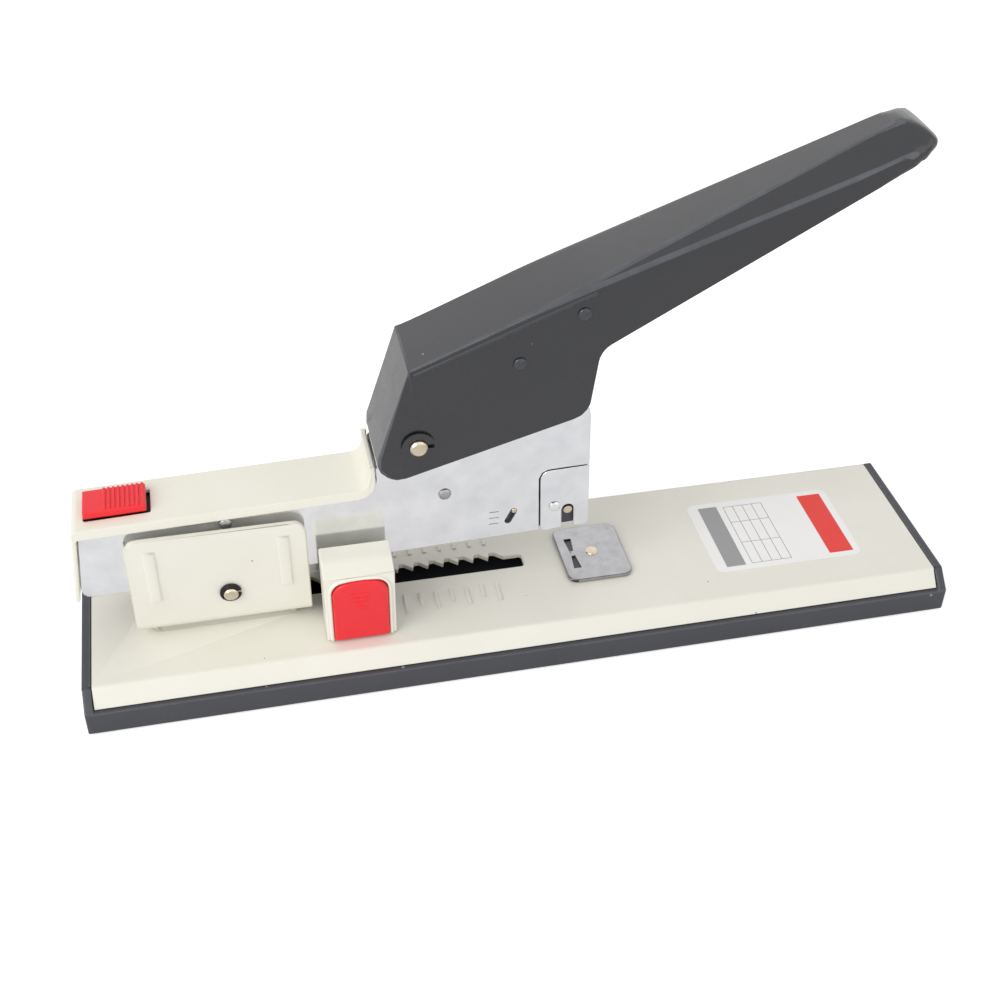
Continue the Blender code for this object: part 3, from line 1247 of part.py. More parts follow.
def handle_outline():
    """The handle's side view, anticlockwise from its nose; level axes from its pin."""
    return [(-HANDLE_NOSE_SET, -HANDLE_NOSE_DROP, HANDLE_NOSE_RADIUS),
            (HANDLE_FLAP_REACH, HANDLE_FLAP_RISE, HANDLE_FLAP_RADIUS),
            (HANDLE_KNEE_REACH, HANDLE_KNEE_RISE, HANDLE_KNEE_RADIUS),
            (GRIP_UNDER_REACH, GRIP_UNDER_RISE, GRIP_UNDER_RADIUS),
            (GRIP_REACH, GRIP_TIP_RISE, GRIP_TIP_RADIUS),
            (GRIP_SHOULDER_REACH, handle_top(GRIP_SHOULDER_REACH), GRIP_SHOULDER_RADIUS),
            (-HANDLE_FRONT_SET, HANDLE_FRONT_RISE, HANDLE_SHEET)]


def chamfer_cutter(facing, sink=0.0):
    """A block whose face is the grip's long widening chamfer, sunk by a wall if given."""
    far = GRIP_REACH
    first = Vector((CHAMFER_START, facing * HANDLE_HALF, handle_top(CHAMFER_START)))
    second = Vector((far, facing * HANDLE_HALF, handle_top(far) - CHAMFER_DROP))
    third = Vector((far, facing * (HANDLE_HALF - CHAMFER_INSET), handle_top(far)))
    along = (second - first).normalized()
    normal = along.cross(third - first).normalized()
    if normal.z < 0:
        normal.negate()
    side = normal.cross(along)
    size = GRIP_REACH
    block = box(-size, size, -size, size, 0, size)
    axes = Matrix((along, side, normal)).transposed().to_4x4()
    shape = bmesh.new()
    shape.from_mesh(block.data)
    shape.transform(Matrix.Translation(first - normal * sink) @ axes)
    bpy.data.objects.remove(block)
    return solid_object("chamfer", shape)


def build_handle_shell(materials, handle):
    """The black handle: a folded hood whose grip has widening chamfers and a round end."""
    outline = handle_outline()
    shell = prism([fillet(outline)], 2 * HANDLE_HALF, "XZ")
    plan = [(-HANDLE_NOSE_SET - OVERRUN, -HANDLE_HALF, 0),
            (GRIP_REACH, -HANDLE_HALF, GRIP_END_RADIUS),
            (GRIP_REACH, HANDLE_HALF, GRIP_END_RADIUS),
            (-HANDLE_NOSE_SET - OVERRUN, HANDLE_HALF, 0)]
    combine(shell, prism([fillet(plan)], GRIP_REACH * 3, "XY"), "INTERSECT")
    for facing in (-1, 1):
        cut(shell, chamfer_cutter(facing))
    sheet = HANDLE_SHEET
    under = -OVERRUN * 2
    hollow = inset(outline, [under, under, under, sheet, sheet, sheet, sheet])
    cavity = prism([fillet(hollow)], 2 * HANDLE_INNER, "XZ")
    inner_plan = inset(plan, [sheet, sheet, sheet, -OVERRUN])
    combine(cavity, prism([fillet(inner_plan)], GRIP_REACH * 3, "XY"), "INTERSECT")
    for facing in (-1, 1):
        cut(cavity, chamfer_cutter(facing, sheet))
    cut(shell, cavity)
    front_low = -HANDLE_FRONT_WALL_DROP
    cut(shell, box(-HANDLE_NOSE_SET - OVERRUN, -HANDLE_FRONT_SET, -HANDLE_INNER, HANDLE_INNER,
                   -HANDLE_NOSE_DROP - OVERRUN, front_low))
    all_across = (-HANDLE_HALF - OVERRUN, HANDLE_HALF + OVERRUN)
    cut(shell, cylinder(HANDLE_PIN_RADIUS + RUN, *all_across, 0, 0))
    for x, z in (RIVET_A, RIVET_B):
        cut(shell, cylinder(HANDLE_RIVET_RADIUS + RUN, *all_across, x, z, steps=SMALL_STEPS))
    link(smooth(shell, HANDLE_SHADE_ANGLE), "handle_shell", materials["black"], handle)


def build_drive_arm(materials, handle):
    """The inner yoke riveted in the handle, its pin and the roller that moves the driver."""
    eye_x, eye_z = drive_eye()
    eye = DRIVE_ARM_EYE
    seam = HANDLE_SHEET * 2 + GAP
    corner = eye * EYE_ROUND_SHARE
    outline = [(eye_x - eye, eye_z - eye, corner), (eye_x + eye, eye_z - eye, corner),
               (eye_x + eye, eye_z + eye * EYE_NECK_SHARE, eye),
               (eye_x - eye * EYE_SET_SHARE, RIVET_A[1] + eye, eye),
               (DRIVE_ARM_FRONT, RIVET_B[1] - eye, eye),
               (DRIVE_ARM_FRONT, handle_top(DRIVE_ARM_FRONT) - seam, eye / 2),
               (DRIVE_ARM_REAR, handle_top(DRIVE_ARM_REAR) - seam, eye / 2),
               (DRIVE_ARM_REAR, RIVET_A[1] - 2 * eye, eye)]
    sheet = DRIVE_ARM_SHEET
    hollow = inset(outline, [-OVERRUN, -OVERRUN, -OVERRUN, -OVERRUN, -OVERRUN, sheet,
                             -OVERRUN, -OVERRUN])
    yoke = prism([fillet(outline)], 2 * DRIVE_ARM_HALF, "XZ")
    cut(yoke, prism([fillet(hollow)], 2 * (DRIVE_ARM_HALF - sheet), "XZ"))
    all_across = (-DRIVE_ARM_HALF - OVERRUN, DRIVE_ARM_HALF + OVERRUN)
    for x, z in (RIVET_A, RIVET_B):
        cut(yoke, cylinder(HANDLE_RIVET_RADIUS + RUN, *all_across, x, z, steps=SMALL_STEPS))
    cut(yoke, cylinder(DRIVE_PIN_RADIUS + RUN, *all_across, eye_x, eye_z, steps=SMALL_STEPS))
    link(smooth(yoke), "drive_yoke", materials["steel"], handle)
    pin = turned(pin_profile(DRIVE_PIN_RADIUS, DRIVE_ARM_HALF + GAP), SMALL_STEPS)
    link(smooth(across(pin, eye_x, eye_z)), "drive_pin", materials["steel"], handle)
    inner = DRIVE_ARM_HALF - sheet - GAP
    roller = cylinder(ROLLER_RADIUS, -inner, inner, eye_x, eye_z)
    cut(roller, cylinder(DRIVE_PIN_RADIUS + RUN, *all_across, eye_x, eye_z, steps=SMALL_STEPS))
    link(smooth(roller), "drive_roller", materials["dark_steel"], handle)


def drive_eye():
    """The drive pin's place in the handle's level axes."""
    turn = math.radians(DRIVE_ANGLE)
    return DRIVE_RADIUS * math.cos(turn), DRIVE_RADIUS * math.sin(turn)


def build_handle_rivets(materials, handle):
    """The two rivets across the handle that hold the drive yoke."""
    for name, (x, z) in (("handle_rivet_rear", RIVET_A), ("handle_rivet_front", RIVET_B)):
        rivet = through_rivet(HANDLE_RIVET_RADIUS, HANDLE_RIVET_CAP, HANDLE_HALF + RUN, x, z)
        link(smooth(rivet), name, materials["black"], handle)


def stop_block(facing, height):
    """One upright block of the paper stop, its outer face raked to an arched top."""
    low = BASE_HEIGHT + TICK_RISE + GAP
    top = BASE_HEIGHT + height
    crest = STOP_BACK + STOP_FLAT
    section = [(STOP_BACK, low, 0), (STOP_FRONT, low, 0),
               (STOP_FRONT, top - STOP_BROW, STOP_BROW_RADIUS), (crest, top, STOP_FLAT),
               (STOP_BACK, top, 0)]
    if facing < 0:
        section = [(-y, z, r) for y, z, r in reversed(section)]
    return prism([fillet(section)], STOP_LENGTH, "YZ", STOP_X)


def build_paper_stop(materials, stop):
    """The sliding stop: near block for the button, far fence, cross carrier and shoe."""
    rear = STOP_X - STOP_LENGTH / 2
    front = STOP_X + STOP_LENGTH / 2
    low = BASE_HEIGHT + TICK_RISE + GAP
    block = stop_block(-1, STOP_HEIGHT)
    wall = STOP_WALL
    bay = [(rear + wall, low - OVERRUN, 0), (front - wall, low - OVERRUN, 0),
           (front - wall, low + STOP_BUTTON_HEIGHT, STOP_BAY_CORNER),
           (STOP_X, low + STOP_BUTTON_HEIGHT + STOP_ARCH_RISE / 2, STOP_LENGTH),
           (rear + wall, low + STOP_BUTTON_HEIGHT, STOP_BAY_CORNER)]
    bay_back = STOP_BACK + STOP_WALL
    bay_front = STOP_FRONT + OVERRUN
    cut(block, prism([fillet(bay)], bay_front - bay_back, "XZ", -(bay_back + bay_front) / 2))
    stem = STOP_STEM_HALF + RUN
    cut(block, box(STOP_X - stem, STOP_X + stem, -bay_back - OVERRUN, OVERRUN - STOP_BACK,
                   BASE_HEIGHT + STOP_STEM_LOW - RUN, BASE_HEIGHT + STOP_STEM_HIGH + RUN))
    link(smooth(block), "stop_block", materials["ivory"], stop)
    link(smooth(stop_block(1, FENCE_HEIGHT)), "stop_fence", materials["ivory"], stop)
    carrier = box(rear - STOP_CARRIER_OVERHANG, front - STOP_WALL, -STOP_BACK + GAP,
                  STOP_BACK - GAP, low, BASE_HEIGHT + STOP_CARRIER_HEIGHT)
    neck_y = (SLOT_NEAR + SLOT_FAR) / 2
    neck_half = min(STOP_NECK_HALF, (SLOT_FAR - SLOT_NEAR) / 2 - GAP)
    under = BASE_HEIGHT - COVER_SHEET - GAP
    shoe_half = STOP_SHOE_LENGTH / 2
    join(carrier, box(STOP_X - shoe_half / 2, STOP_X + shoe_half / 2, neck_y - neck_half,
                      neck_y + neck_half - PAWL_WIDTH / 2, under, low + GAP))
    shoe = box(STOP_X - shoe_half, STOP_X + shoe_half, neck_y - STOP_SHOE_HALF,
               neck_y + STOP_SHOE_HALF, under - STOP_SHOE_THICKNESS, under)
    link(carrier, "stop_carrier", materials["charcoal"], stop)
    link(shoe, "stop_shoe", materials["steel"], stop)


def build_stop_button(materials, button_axis):
    """The red button in the near block's bay: arched top, short ribs and a guiding stem."""
    rear = STOP_X - STOP_LENGTH / 2 + STOP_WALL + GAP
    front = STOP_X + STOP_LENGTH / 2 - STOP_WALL - GAP
    low = BASE_HEIGHT + TICK_RISE + 2 * GAP
    top = BASE_HEIGHT + TICK_RISE + STOP_BUTTON_HEIGHT - GAP
    corner = STOP_BAY_CORNER - GAP
    outline = [(rear, low, 0), (front, low, 0), (front, top - GAP, corner),
               (STOP_X, top + STOP_ARCH_RISE / 2 - GAP, STOP_LENGTH), (rear, top - GAP, corner)]
    depth = STOP_BUTTON_DEPTH
    outer = STOP_FRONT
    button = prism([fillet(outline)], depth, "XZ", depth / 2 - outer)
    for number in range(STOP_BUTTON_RIBS):
        half = STOP_RIB_HALF - STOP_RIB_SHRINK * number
        z = low + (top - low) * STOP_RIB_TOP_SHARE - STOP_RIB_PITCH * number
        rib = cylinder(BUTTON_RIB_RISE, STOP_X - half, STOP_X + half, -outer, z,
                       steps=8, axis="X")
        join(button, rib)
    half = STOP_STEM_HALF
    join(button, box(STOP_X - half, STOP_X + half, depth - outer - GAP,
                     -STOP_BACK - STOP_STEM_STANDOUT, BASE_HEIGHT + STOP_STEM_LOW,
                     BASE_HEIGHT + STOP_STEM_HIGH))
    link(smooth(button), "stop_button", materials["red"], button_axis)


def build_lift_spring(materials):
    """The spring that holds the arm up, between the bracket's floor and the arm's strap."""
    strap_w = FRAME_LOWER - SADDLE_SHEET - GAP
    tilt = math.radians(ARM_TILT)
    x = PIVOT_X + LIFT_SPRING_U * math.cos(tilt)
    strap_low = PIVOT_Z + (LIFT_SPRING_U - SADDLE_LENGTH / 2) * math.sin(tilt)
    strap_low += strap_w * math.cos(tilt)
    floor = BRACKET_SEAT + GAP + BRACKET_SHEET + RUN
    spring = coil(LIFT_SPRING_RADIUS, LIFT_SPRING_WIRE, LIFT_SPRING_TURNS,
                  strap_low - floor - 2 * GAP, Matrix.Translation((x, 0, floor + GAP)))
    link(spring, "lift_spring", materials["steel"])


def build_return_spring(materials, handle, arm):
    """The spring that lifts the handle off the arm's roof, and the wedge pad above it."""
    start = RETURN_SPRING_SET - SPRING_PAD_HALF
    end = RETURN_SPRING_SET + SPRING_PAD_HALF
    drop = HANDLE_SHEET / math.cos(math.radians(HANDLE_SLOPE)) + GAP
    low = handle_top(start) - drop - SPRING_PAD_LEAST
    pad = prism([[(start, low), (end, low), (end, handle_top(end) - drop),
                  (start, handle_top(start) - drop)]], 2 * SPRING_PAD_HALF, "XZ")
    link(pad, "spring_pad", materials["charcoal"], handle)
    tilt = math.radians(ARM_TILT)
    roof = HANDLE_LUG * math.cos(tilt) + end * math.sin(tilt) + GAP
    place = Matrix.Rotation(tilt, 4, "Y")
    place.translation = (HANDLE_PIVOT_U + RETURN_SPRING_SET * math.cos(tilt) + roof * math.sin(tilt),
                         0, HANDLE_PIVOT_W - RETURN_SPRING_SET * math.sin(tilt)
                         + roof * math.cos(tilt))
    spring = coil(RETURN_SPRING_RADIUS, RETURN_SPRING_WIRE, RETURN_SPRING_TURNS,
                  low - roof - GAP, place)
    link(spring, "return_spring", materials["steel"], arm)


def main():
    """Build every part."""
    clear_scene()
    make_collections()
    materials = {
        "cream": make_material("cream_paint", CREAM, PAINT),
        "ivory": make_material("ivory_plastic", IVORY, PLASTIC),
        "charcoal": make_material("charcoal_plastic", CHARCOAL, PLASTIC),
        "black": make_material("black_paint", BLACK, PAINT),
        "red": make_material("red_plastic", RED, SHINY_PLASTIC),
        "nickel": make_material("nickel_plate", NICKEL, POLISHED),
        "steel": make_material("bright_steel", STEEL, SATIN_METAL),
        "champagne": make_material("champagne_plating", CHAMPAGNE, SATIN_METAL),
        "dark_steel": make_material("dark_steel", DARK_STEEL, SATIN_METAL),
        "rubber": make_material("black_rubber", RUBBER_BLACK, RUBBER),
    }
    arm = axis_empty("arm_axis", PIVOT_X, PIVOT_Z, ARM_TILT)
    handle = axis_empty("handle_axis", HANDLE_PIVOT_U, HANDLE_PIVOT_W, -ARM_TILT, arm)
    stop = axis_empty("stop_axis", 0, 0)
    stop_button = axis_empty("stop_button_axis", 0, 0, 0, stop)
    build_tray(materials)
    build_feet(materials)
    build_cover_plate(materials)
    build_anvil(materials)
    build_bracket(materials)
    build_frame(materials, arm)
    build_rear_cover(materials, arm)
    build_push_button(materials, arm)
    build_channel(materials, arm)
    build_head_plate(materials, arm)
    build_head_fasteners(materials, arm)
    build_rail(materials, arm)
    build_pusher_set(materials, arm)
    build_driver(materials, arm)
    build_handle_shell(materials, handle)
    build_drive_arm(materials, handle)
    build_handle_rivets(materials, handle)
    build_paper_stop(materials, stop)
    build_stop_button(materials, stop_button)
    build_lift_spring(materials)
    build_return_spring(materials, handle, arm)
    for name, u, w in (("rear_rivet", REAR_RIVET_U, REAR_RIVET_W),
                       ("frame_rivet", FRAME_RIVET_U, FRAME_RIVET_W)):
        rivet = through_rivet(FRAME_RIVET_RADIUS, FRAME_RIVET_CAP, FRAME_HALF + RUN, u, w)
        link(smooth(rivet), name, materials["nickel"], arm)
    bracket_axis = axis_empty("bracket_axis", PIVOT_X, PIVOT_Z)
    inner = BRACKET_HALF - BRACKET_SHEET
    build_pin("bracket", PIVOT_PIN_RADIUS, BRACKET_HALF, 0, 0, materials, bracket_axis)
    build_clips("bracket", PIVOT_PIN_RADIUS, PIVOT_CLIP_WIDTH, BRACKET_HALF, 0, 0, materials,
                bracket_axis)
    build_bushes("bracket", PIVOT_PIN_RADIUS, FRAME_HALF, inner, 0, 0, materials, bracket_axis)
    build_pin("handle", HANDLE_PIN_RADIUS, HANDLE_HALF, HANDLE_PIVOT_U, HANDLE_PIVOT_W,
              materials, arm)
    build_clips("handle", HANDLE_PIN_RADIUS, HANDLE_CLIP_WIDTH, HANDLE_HALF, HANDLE_PIVOT_U,
                HANDLE_PIVOT_W, materials, arm)
    build_bushes("handle", HANDLE_PIN_RADIUS, FRAME_HALF, HANDLE_INNER, HANDLE_PIVOT_U,
                 HANDLE_PIVOT_W, materials, arm)


main()
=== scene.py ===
"""Looks of a heavy duty stapler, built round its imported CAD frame.

Each sub-assembly is a class that dresses its CAD nodes, rounds the edges of the visible ones and
adds the small pieces that the solids leave out. Lengths are metres in the frame's own axes: +X
along the base to the end where the paper goes in, +Y to the far side, +Z up.
"""
import json
import logging
import math
from contextlib import contextmanager
from dataclasses import dataclass, field
from enum import Enum
from typing import Callable, Dict, Iterator, List, Optional, Sequence, Tuple

import bmesh
import bpy
from mathutils import Matrix, Vector

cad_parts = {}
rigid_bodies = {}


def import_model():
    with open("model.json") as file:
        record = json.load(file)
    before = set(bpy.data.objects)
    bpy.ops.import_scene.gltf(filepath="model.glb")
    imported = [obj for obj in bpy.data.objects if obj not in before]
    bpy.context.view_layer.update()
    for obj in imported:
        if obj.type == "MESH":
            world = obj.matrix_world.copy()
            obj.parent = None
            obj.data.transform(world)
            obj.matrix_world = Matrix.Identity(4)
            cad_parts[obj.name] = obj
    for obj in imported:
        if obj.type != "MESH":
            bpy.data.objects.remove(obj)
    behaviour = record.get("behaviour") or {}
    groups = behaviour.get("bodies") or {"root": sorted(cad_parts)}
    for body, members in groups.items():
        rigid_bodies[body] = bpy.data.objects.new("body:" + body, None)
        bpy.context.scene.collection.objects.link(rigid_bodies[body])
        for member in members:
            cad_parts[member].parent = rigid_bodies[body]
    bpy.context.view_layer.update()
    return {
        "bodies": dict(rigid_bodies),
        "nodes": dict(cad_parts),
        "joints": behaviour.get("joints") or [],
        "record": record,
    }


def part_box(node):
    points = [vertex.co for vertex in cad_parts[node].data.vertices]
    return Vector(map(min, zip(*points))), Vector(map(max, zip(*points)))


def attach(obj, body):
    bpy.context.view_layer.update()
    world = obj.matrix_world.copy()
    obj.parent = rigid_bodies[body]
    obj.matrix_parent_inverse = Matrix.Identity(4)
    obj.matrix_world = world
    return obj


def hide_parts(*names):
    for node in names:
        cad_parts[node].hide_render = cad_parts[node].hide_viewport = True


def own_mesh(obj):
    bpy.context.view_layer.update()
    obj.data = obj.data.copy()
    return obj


LOG = logging.getLogger("stapler")
MM = 0.001
TINY = 0.02 * MM
Point = Tuple[float, float, float]


class Element(Enum):
    """What a selection in edit mode picks."""

    VERT = "VERT"
    EDGE = "EDGE"
    FACE = "FACE"


def linear(code: str) -> Tuple[float, float, float, float]:
    """Turn an sRGB hex colour into linear light.

    Args:
        code: six hex digits, with or without a leading hash.

    Returns:
        Red, green, blue and an alpha of one.
    """
    digits = code.lstrip("#")
    levels = [int(digits[start:start + 2], 16) / 255 for start in (0, 2, 4)]
    light = [c / 12.92 if c <= 0.04045 else ((c + 0.055) / 1.055) ** 2.4 for c in levels]
    return (light[0], light[1], light[2], 1.0)


def add_node(tree: bpy.types.NodeTree, kind: str, settings: Optional[dict] = None,
             links: Optional[dict] = None) -> bpy.types.Node:
    """Add one node with its settings, socket values and incoming links.

    Args:
        tree: the node tree to add to.
        kind: the node's type name.
        settings: attribute names, or socket names and numbers, with their values.
        links: socket name or number to the output socket that feeds it.

    Returns:
        The new node.
    """
    node = tree.nodes.new(kind)
    for key, value in (settings or {}).items():
        if isinstance(key, str) and hasattr(node, key):
            setattr(node, key, value)
        else:
            node.inputs[key].default_value = value
    for key, output in (links or {}).items():
        tree.links.new(output, node.inputs[key])
    return node


@dataclass(frozen=True)
class Finish:
    """A surface: its colour, gloss, soft drift of tone, smudges and fine relief."""

    name: str
    hue: str
    roughness: float
    metallic: float = 0.0
    coat: float = 0.0
    tone_hue: str = ""
    tone_mm: float = 20.0
    tone_amount: float = 0.5
    gloss_mm: float = 9.0
    gloss_swing: float = 0.06
    grain_mm: float = 0.35
    grain_depth_mm: float = 0.01
    grain_stretch: Point = (1.0, 1.0, 1.0)

    def build(self) -> bpy.types.Material:
        """Make the material.

        Returns:
            A material whose nodes read the piece's own Object coordinates.
        """
        material = bpy.data.materials.new(self.name)
        material.use_nodes = True
        tree = material.node_tree
        shader = tree.nodes["Principled BSDF"]
        shader.inputs["Metallic"].default_value = self.metallic
        shader.inputs["Coat Weight"].default_value = self.coat
        shader.inputs["Coat Roughness"].default_value = 0.12
        place = add_node(tree, "ShaderNodeTexCoord").outputs["Object"]
        colour = self.tone(tree, place)
        tree.links.new(self.marks(tree, place, colour), shader.inputs["Base Color"])
        tree.links.new(self.gloss(tree, place), shader.inputs["Roughness"])
        tree.links.new(self.relief(tree, place), shader.inputs["Normal"])
        material.diffuse_color = linear(self.hue)
        return material

    def tone(self, tree: bpy.types.NodeTree, place: bpy.types.NodeSocket) -> bpy.types.NodeSocket:
        """Colour that drifts softly between two near tones.

        Args:
            tree: the material's nodes.
            place: the coordinates.

        Returns:
            The colour output.
        """
        drift = add_node(tree, "ShaderNodeTexNoise",
                         {"Scale": 1 / (self.tone_mm * MM), "Detail": 4.0, "Roughness": 0.55},
                         {"Vector": place})
        share = add_node(tree, "ShaderNodeMapRange",
                         {"From Min": 0.35, "From Max": 0.75, "To Min": 0.0,
                          "To Max": self.tone_amount}, {"Value": drift.outputs["Fac"]})
        mix = add_node(tree, "ShaderNodeMix", {"data_type": "RGBA"},
                       {"Factor": share.outputs["Result"]})
        mix.inputs[6].default_value = linear(self.hue)
        mix.inputs[7].default_value = linear(self.tone_hue or self.hue)
        return mix.outputs[2]

    def marks(self, tree: bpy.types.NodeTree, place: bpy.types.NodeSocket,
              colour: bpy.types.NodeSocket) -> bpy.types.NodeSocket:
        """Marks over the colour; a plain finish has none."""
        return colour

    def gloss(self, tree: bpy.types.NodeTree, place: bpy.types.NodeSocket) -> bpy.types.NodeSocket:
        """Roughness that swings a little, as handling and dust leave it.

        Args:
            tree: the material's nodes.
            place: the coordinates.

        Returns:
            The roughness output.
        """
        smudge = add_node(tree, "ShaderNodeTexNoise",
                          {"Scale": 1 / (self.gloss_mm * MM), "Detail": 6.0, "Roughness": 0.6,
                           "Distortion": 0.4}, {"Vector": place})
        level = add_node(tree, "ShaderNodeMapRange",
                         {"From Min": 0.3, "From Max": 0.7,
                          "To Min": self.roughness - self.gloss_swing,
                          "To Max": self.roughness + self.gloss_swing},
                         {"Value": smudge.outputs["Fac"]})
        return level.outputs["Result"]

    def relief(self, tree: bpy.types.NodeTree,
               place: bpy.types.NodeSocket) -> bpy.types.NodeSocket:
        """Fine relief, such as moulded grain, orange peel or rolling lines.

        Args:
            tree: the material's nodes.
            place: the coordinates.

        Returns:
            The normal output.
        """
        stretched = add_node(tree, "ShaderNodeMapping", {"Scale": self.grain_stretch},
                             {"Vector": place})
        grain = add_node(tree, "ShaderNodeTexNoise",
                         {"Scale": 1 / (self.grain_mm * MM), "Detail": 3.0, "Roughness": 0.6},
                         {"Vector": stretched.outputs["Vector"]})
        bump = add_node(tree, "ShaderNodeBump",
                        {"Strength": 1.0, "Distance": self.grain_depth_mm * MM},
                        {"Height": grain.outputs["Fac"]})
        return bump.outputs["Normal"]


@dataclass(frozen=True)
class SpeckledFinish(Finish):
    """A finish with sparse small specks, such as dust or pits in paint."""

    speck_hue: str = "#5A544A"
    speck_mm: float = 4.0
    speck_size: float = 0.07
    speck_rarity: float = 0.82

    def marks(self, tree: bpy.types.NodeTree, place: bpy.types.NodeSocket,
              colour: bpy.types.NodeSocket) -> bpy.types.NodeSocket:
        """Scatter the specks.

        Args:
            tree: the material's nodes.
            place: the coordinates.
            colour: the colour under the specks.

        Returns:
            The colour output.
        """
        cells = add_node(tree, "ShaderNodeTexVoronoi", {"Scale": 1 / (self.speck_mm * MM)},
                         {"Vector": place})
        near = add_node(tree, "ShaderNodeMath", {"operation": "LESS_THAN", 1: self.speck_size},
                        {0: cells.outputs["Distance"]})
        split = add_node(tree, "ShaderNodeSeparateColor", {}, {"Color": cells.outputs["Color"]})
        rare = add_node(tree, "ShaderNodeMath", {"operation": "GREATER_THAN",
                                                 1: self.speck_rarity},
                        {0: split.outputs["Red"]})
        both = add_node(tree, "ShaderNodeMath", {"operation": "MULTIPLY"},
                        {0: near.outputs[0], 1: rare.outputs[0]})
        mix = add_node(tree, "ShaderNodeMix", {"data_type": "RGBA"},
                       {"Factor": both.outputs[0], 6: colour})
        mix.inputs[7].default_value = linear(self.speck_hue)
        return mix.outputs[2]


@dataclass(frozen=True)
class PrintedLabel(Finish):
    """A paper label: white, with a grey band, a ruled table and a red band, and no words."""

    start: float = 63.9 * MM
    end: float = 114.8 * MM
    near: float = -17.4 * MM
    far: float = 17.8 * MM
    grey_hue: str = "#9A999B"
    red_hue: str = "#E8352B"
    line_hue: str = "#8C8B8E"
    band_margin: float = 2.2 * MM
    table_margins: Tuple[float, float] = (2.6 * MM, 3.0 * MM)
    rule_half: float = 0.11 * MM
    rows: int = 4
    columns: Tuple[float, ...] = (0.0, 0.36, 0.72, 1.0)

    def marks(self, tree: bpy.types.NodeTree, place: bpy.types.NodeSocket,
              colour: bpy.types.NodeSocket) -> bpy.types.NodeSocket:
        """Print the bands and the table's rules.

        Args:
            tree: the material's nodes.
            place: the coordinates.
            colour: the paper's colour.

        Returns:
            The colour output.
        """
        split = add_node(tree, "ShaderNodeSeparateXYZ", {}, {"Vector": place})
        across, along = split.outputs["Y"], split.outputs["X"]
        length = self.end - self.start
        printed = self.band(tree, along, self.start + length * 0.075, self.start + length * 0.205,
                            across, self.near + self.band_margin, self.far - self.band_margin)
        colour = self.over(tree, colour, printed, self.grey_hue)
        printed = self.band(tree, along, self.end - length * 0.215, self.end - length * 0.05,
                            across, self.near + self.band_margin, self.far - self.band_margin)
        colour = self.over(tree, colour, printed, self.red_hue)
        table_start = self.start + length * 0.25
        table_end = self.start + length * 0.52
        near, far = self.near + self.table_margins[0], self.far - self.table_margins[1]
        for row in range(self.rows + 1):
            x = table_start + (table_end - table_start) * row / self.rows
            rule = self.band(tree, along, x - self.rule_half, x + self.rule_half, across,
                             near, far)
            colour = self.over(tree, colour, rule, self.line_hue)
        for share in self.columns:
            y = near + (far - near) * share
            rule = self.band(tree, along, table_start, table_end, across,
                             y - self.rule_half, y + self.rule_half)
            colour = self.over(tree, colour, rule, self.line_hue)
        return colour

    def band(self, tree: bpy.types.NodeTree, along: bpy.types.NodeSocket, x0: float, x1: float,
             across: bpy.types.NodeSocket, y0: float, y1: float) -> bpy.types.NodeSocket:
        """One inside a rectangle on the label, zero outside it.

        Args:
            tree: the material's nodes.
            along: the coordinate along the base.
            x0: where the rectangle starts along the base.
            x1: where it ends.
            across: the coordinate across the base.
            y0: its near side.
            y1: its far side.

        Returns:
            The mask output.
        """
        product = None
        for value, low, high in ((along, x0, x1), (across, y0, y1)):
            for operation, limit in (("GREATER_THAN", low), ("LESS_THAN", high)):
                side = add_node(tree, "ShaderNodeMath", {"operation": operation, 1: limit},
                                {0: value}).outputs[0]
                if product is not None:
                    side = add_node(tree, "ShaderNodeMath", {"operation": "MULTIPLY"},
                                    {0: product, 1: side}).outputs[0]
                product = side
        return product

    def over(self, tree: bpy.types.NodeTree, colour: bpy.types.NodeSocket,
             mask: bpy.types.NodeSocket, ink: str) -> bpy.types.NodeSocket:
        """Print an ink over a colour where a mask is one.

        Args:
            tree: the material's nodes.
            colour: the colour below.
            mask: where the ink goes.
            ink: the ink's hex colour.

        Returns:
            The colour output.
        """
        mix = add_node(tree, "ShaderNodeMix", {"data_type": "RGBA"}, {"Factor": mask, 6: colour})
        mix.inputs[7].default_value = linear(ink)
        return mix.outputs[2]


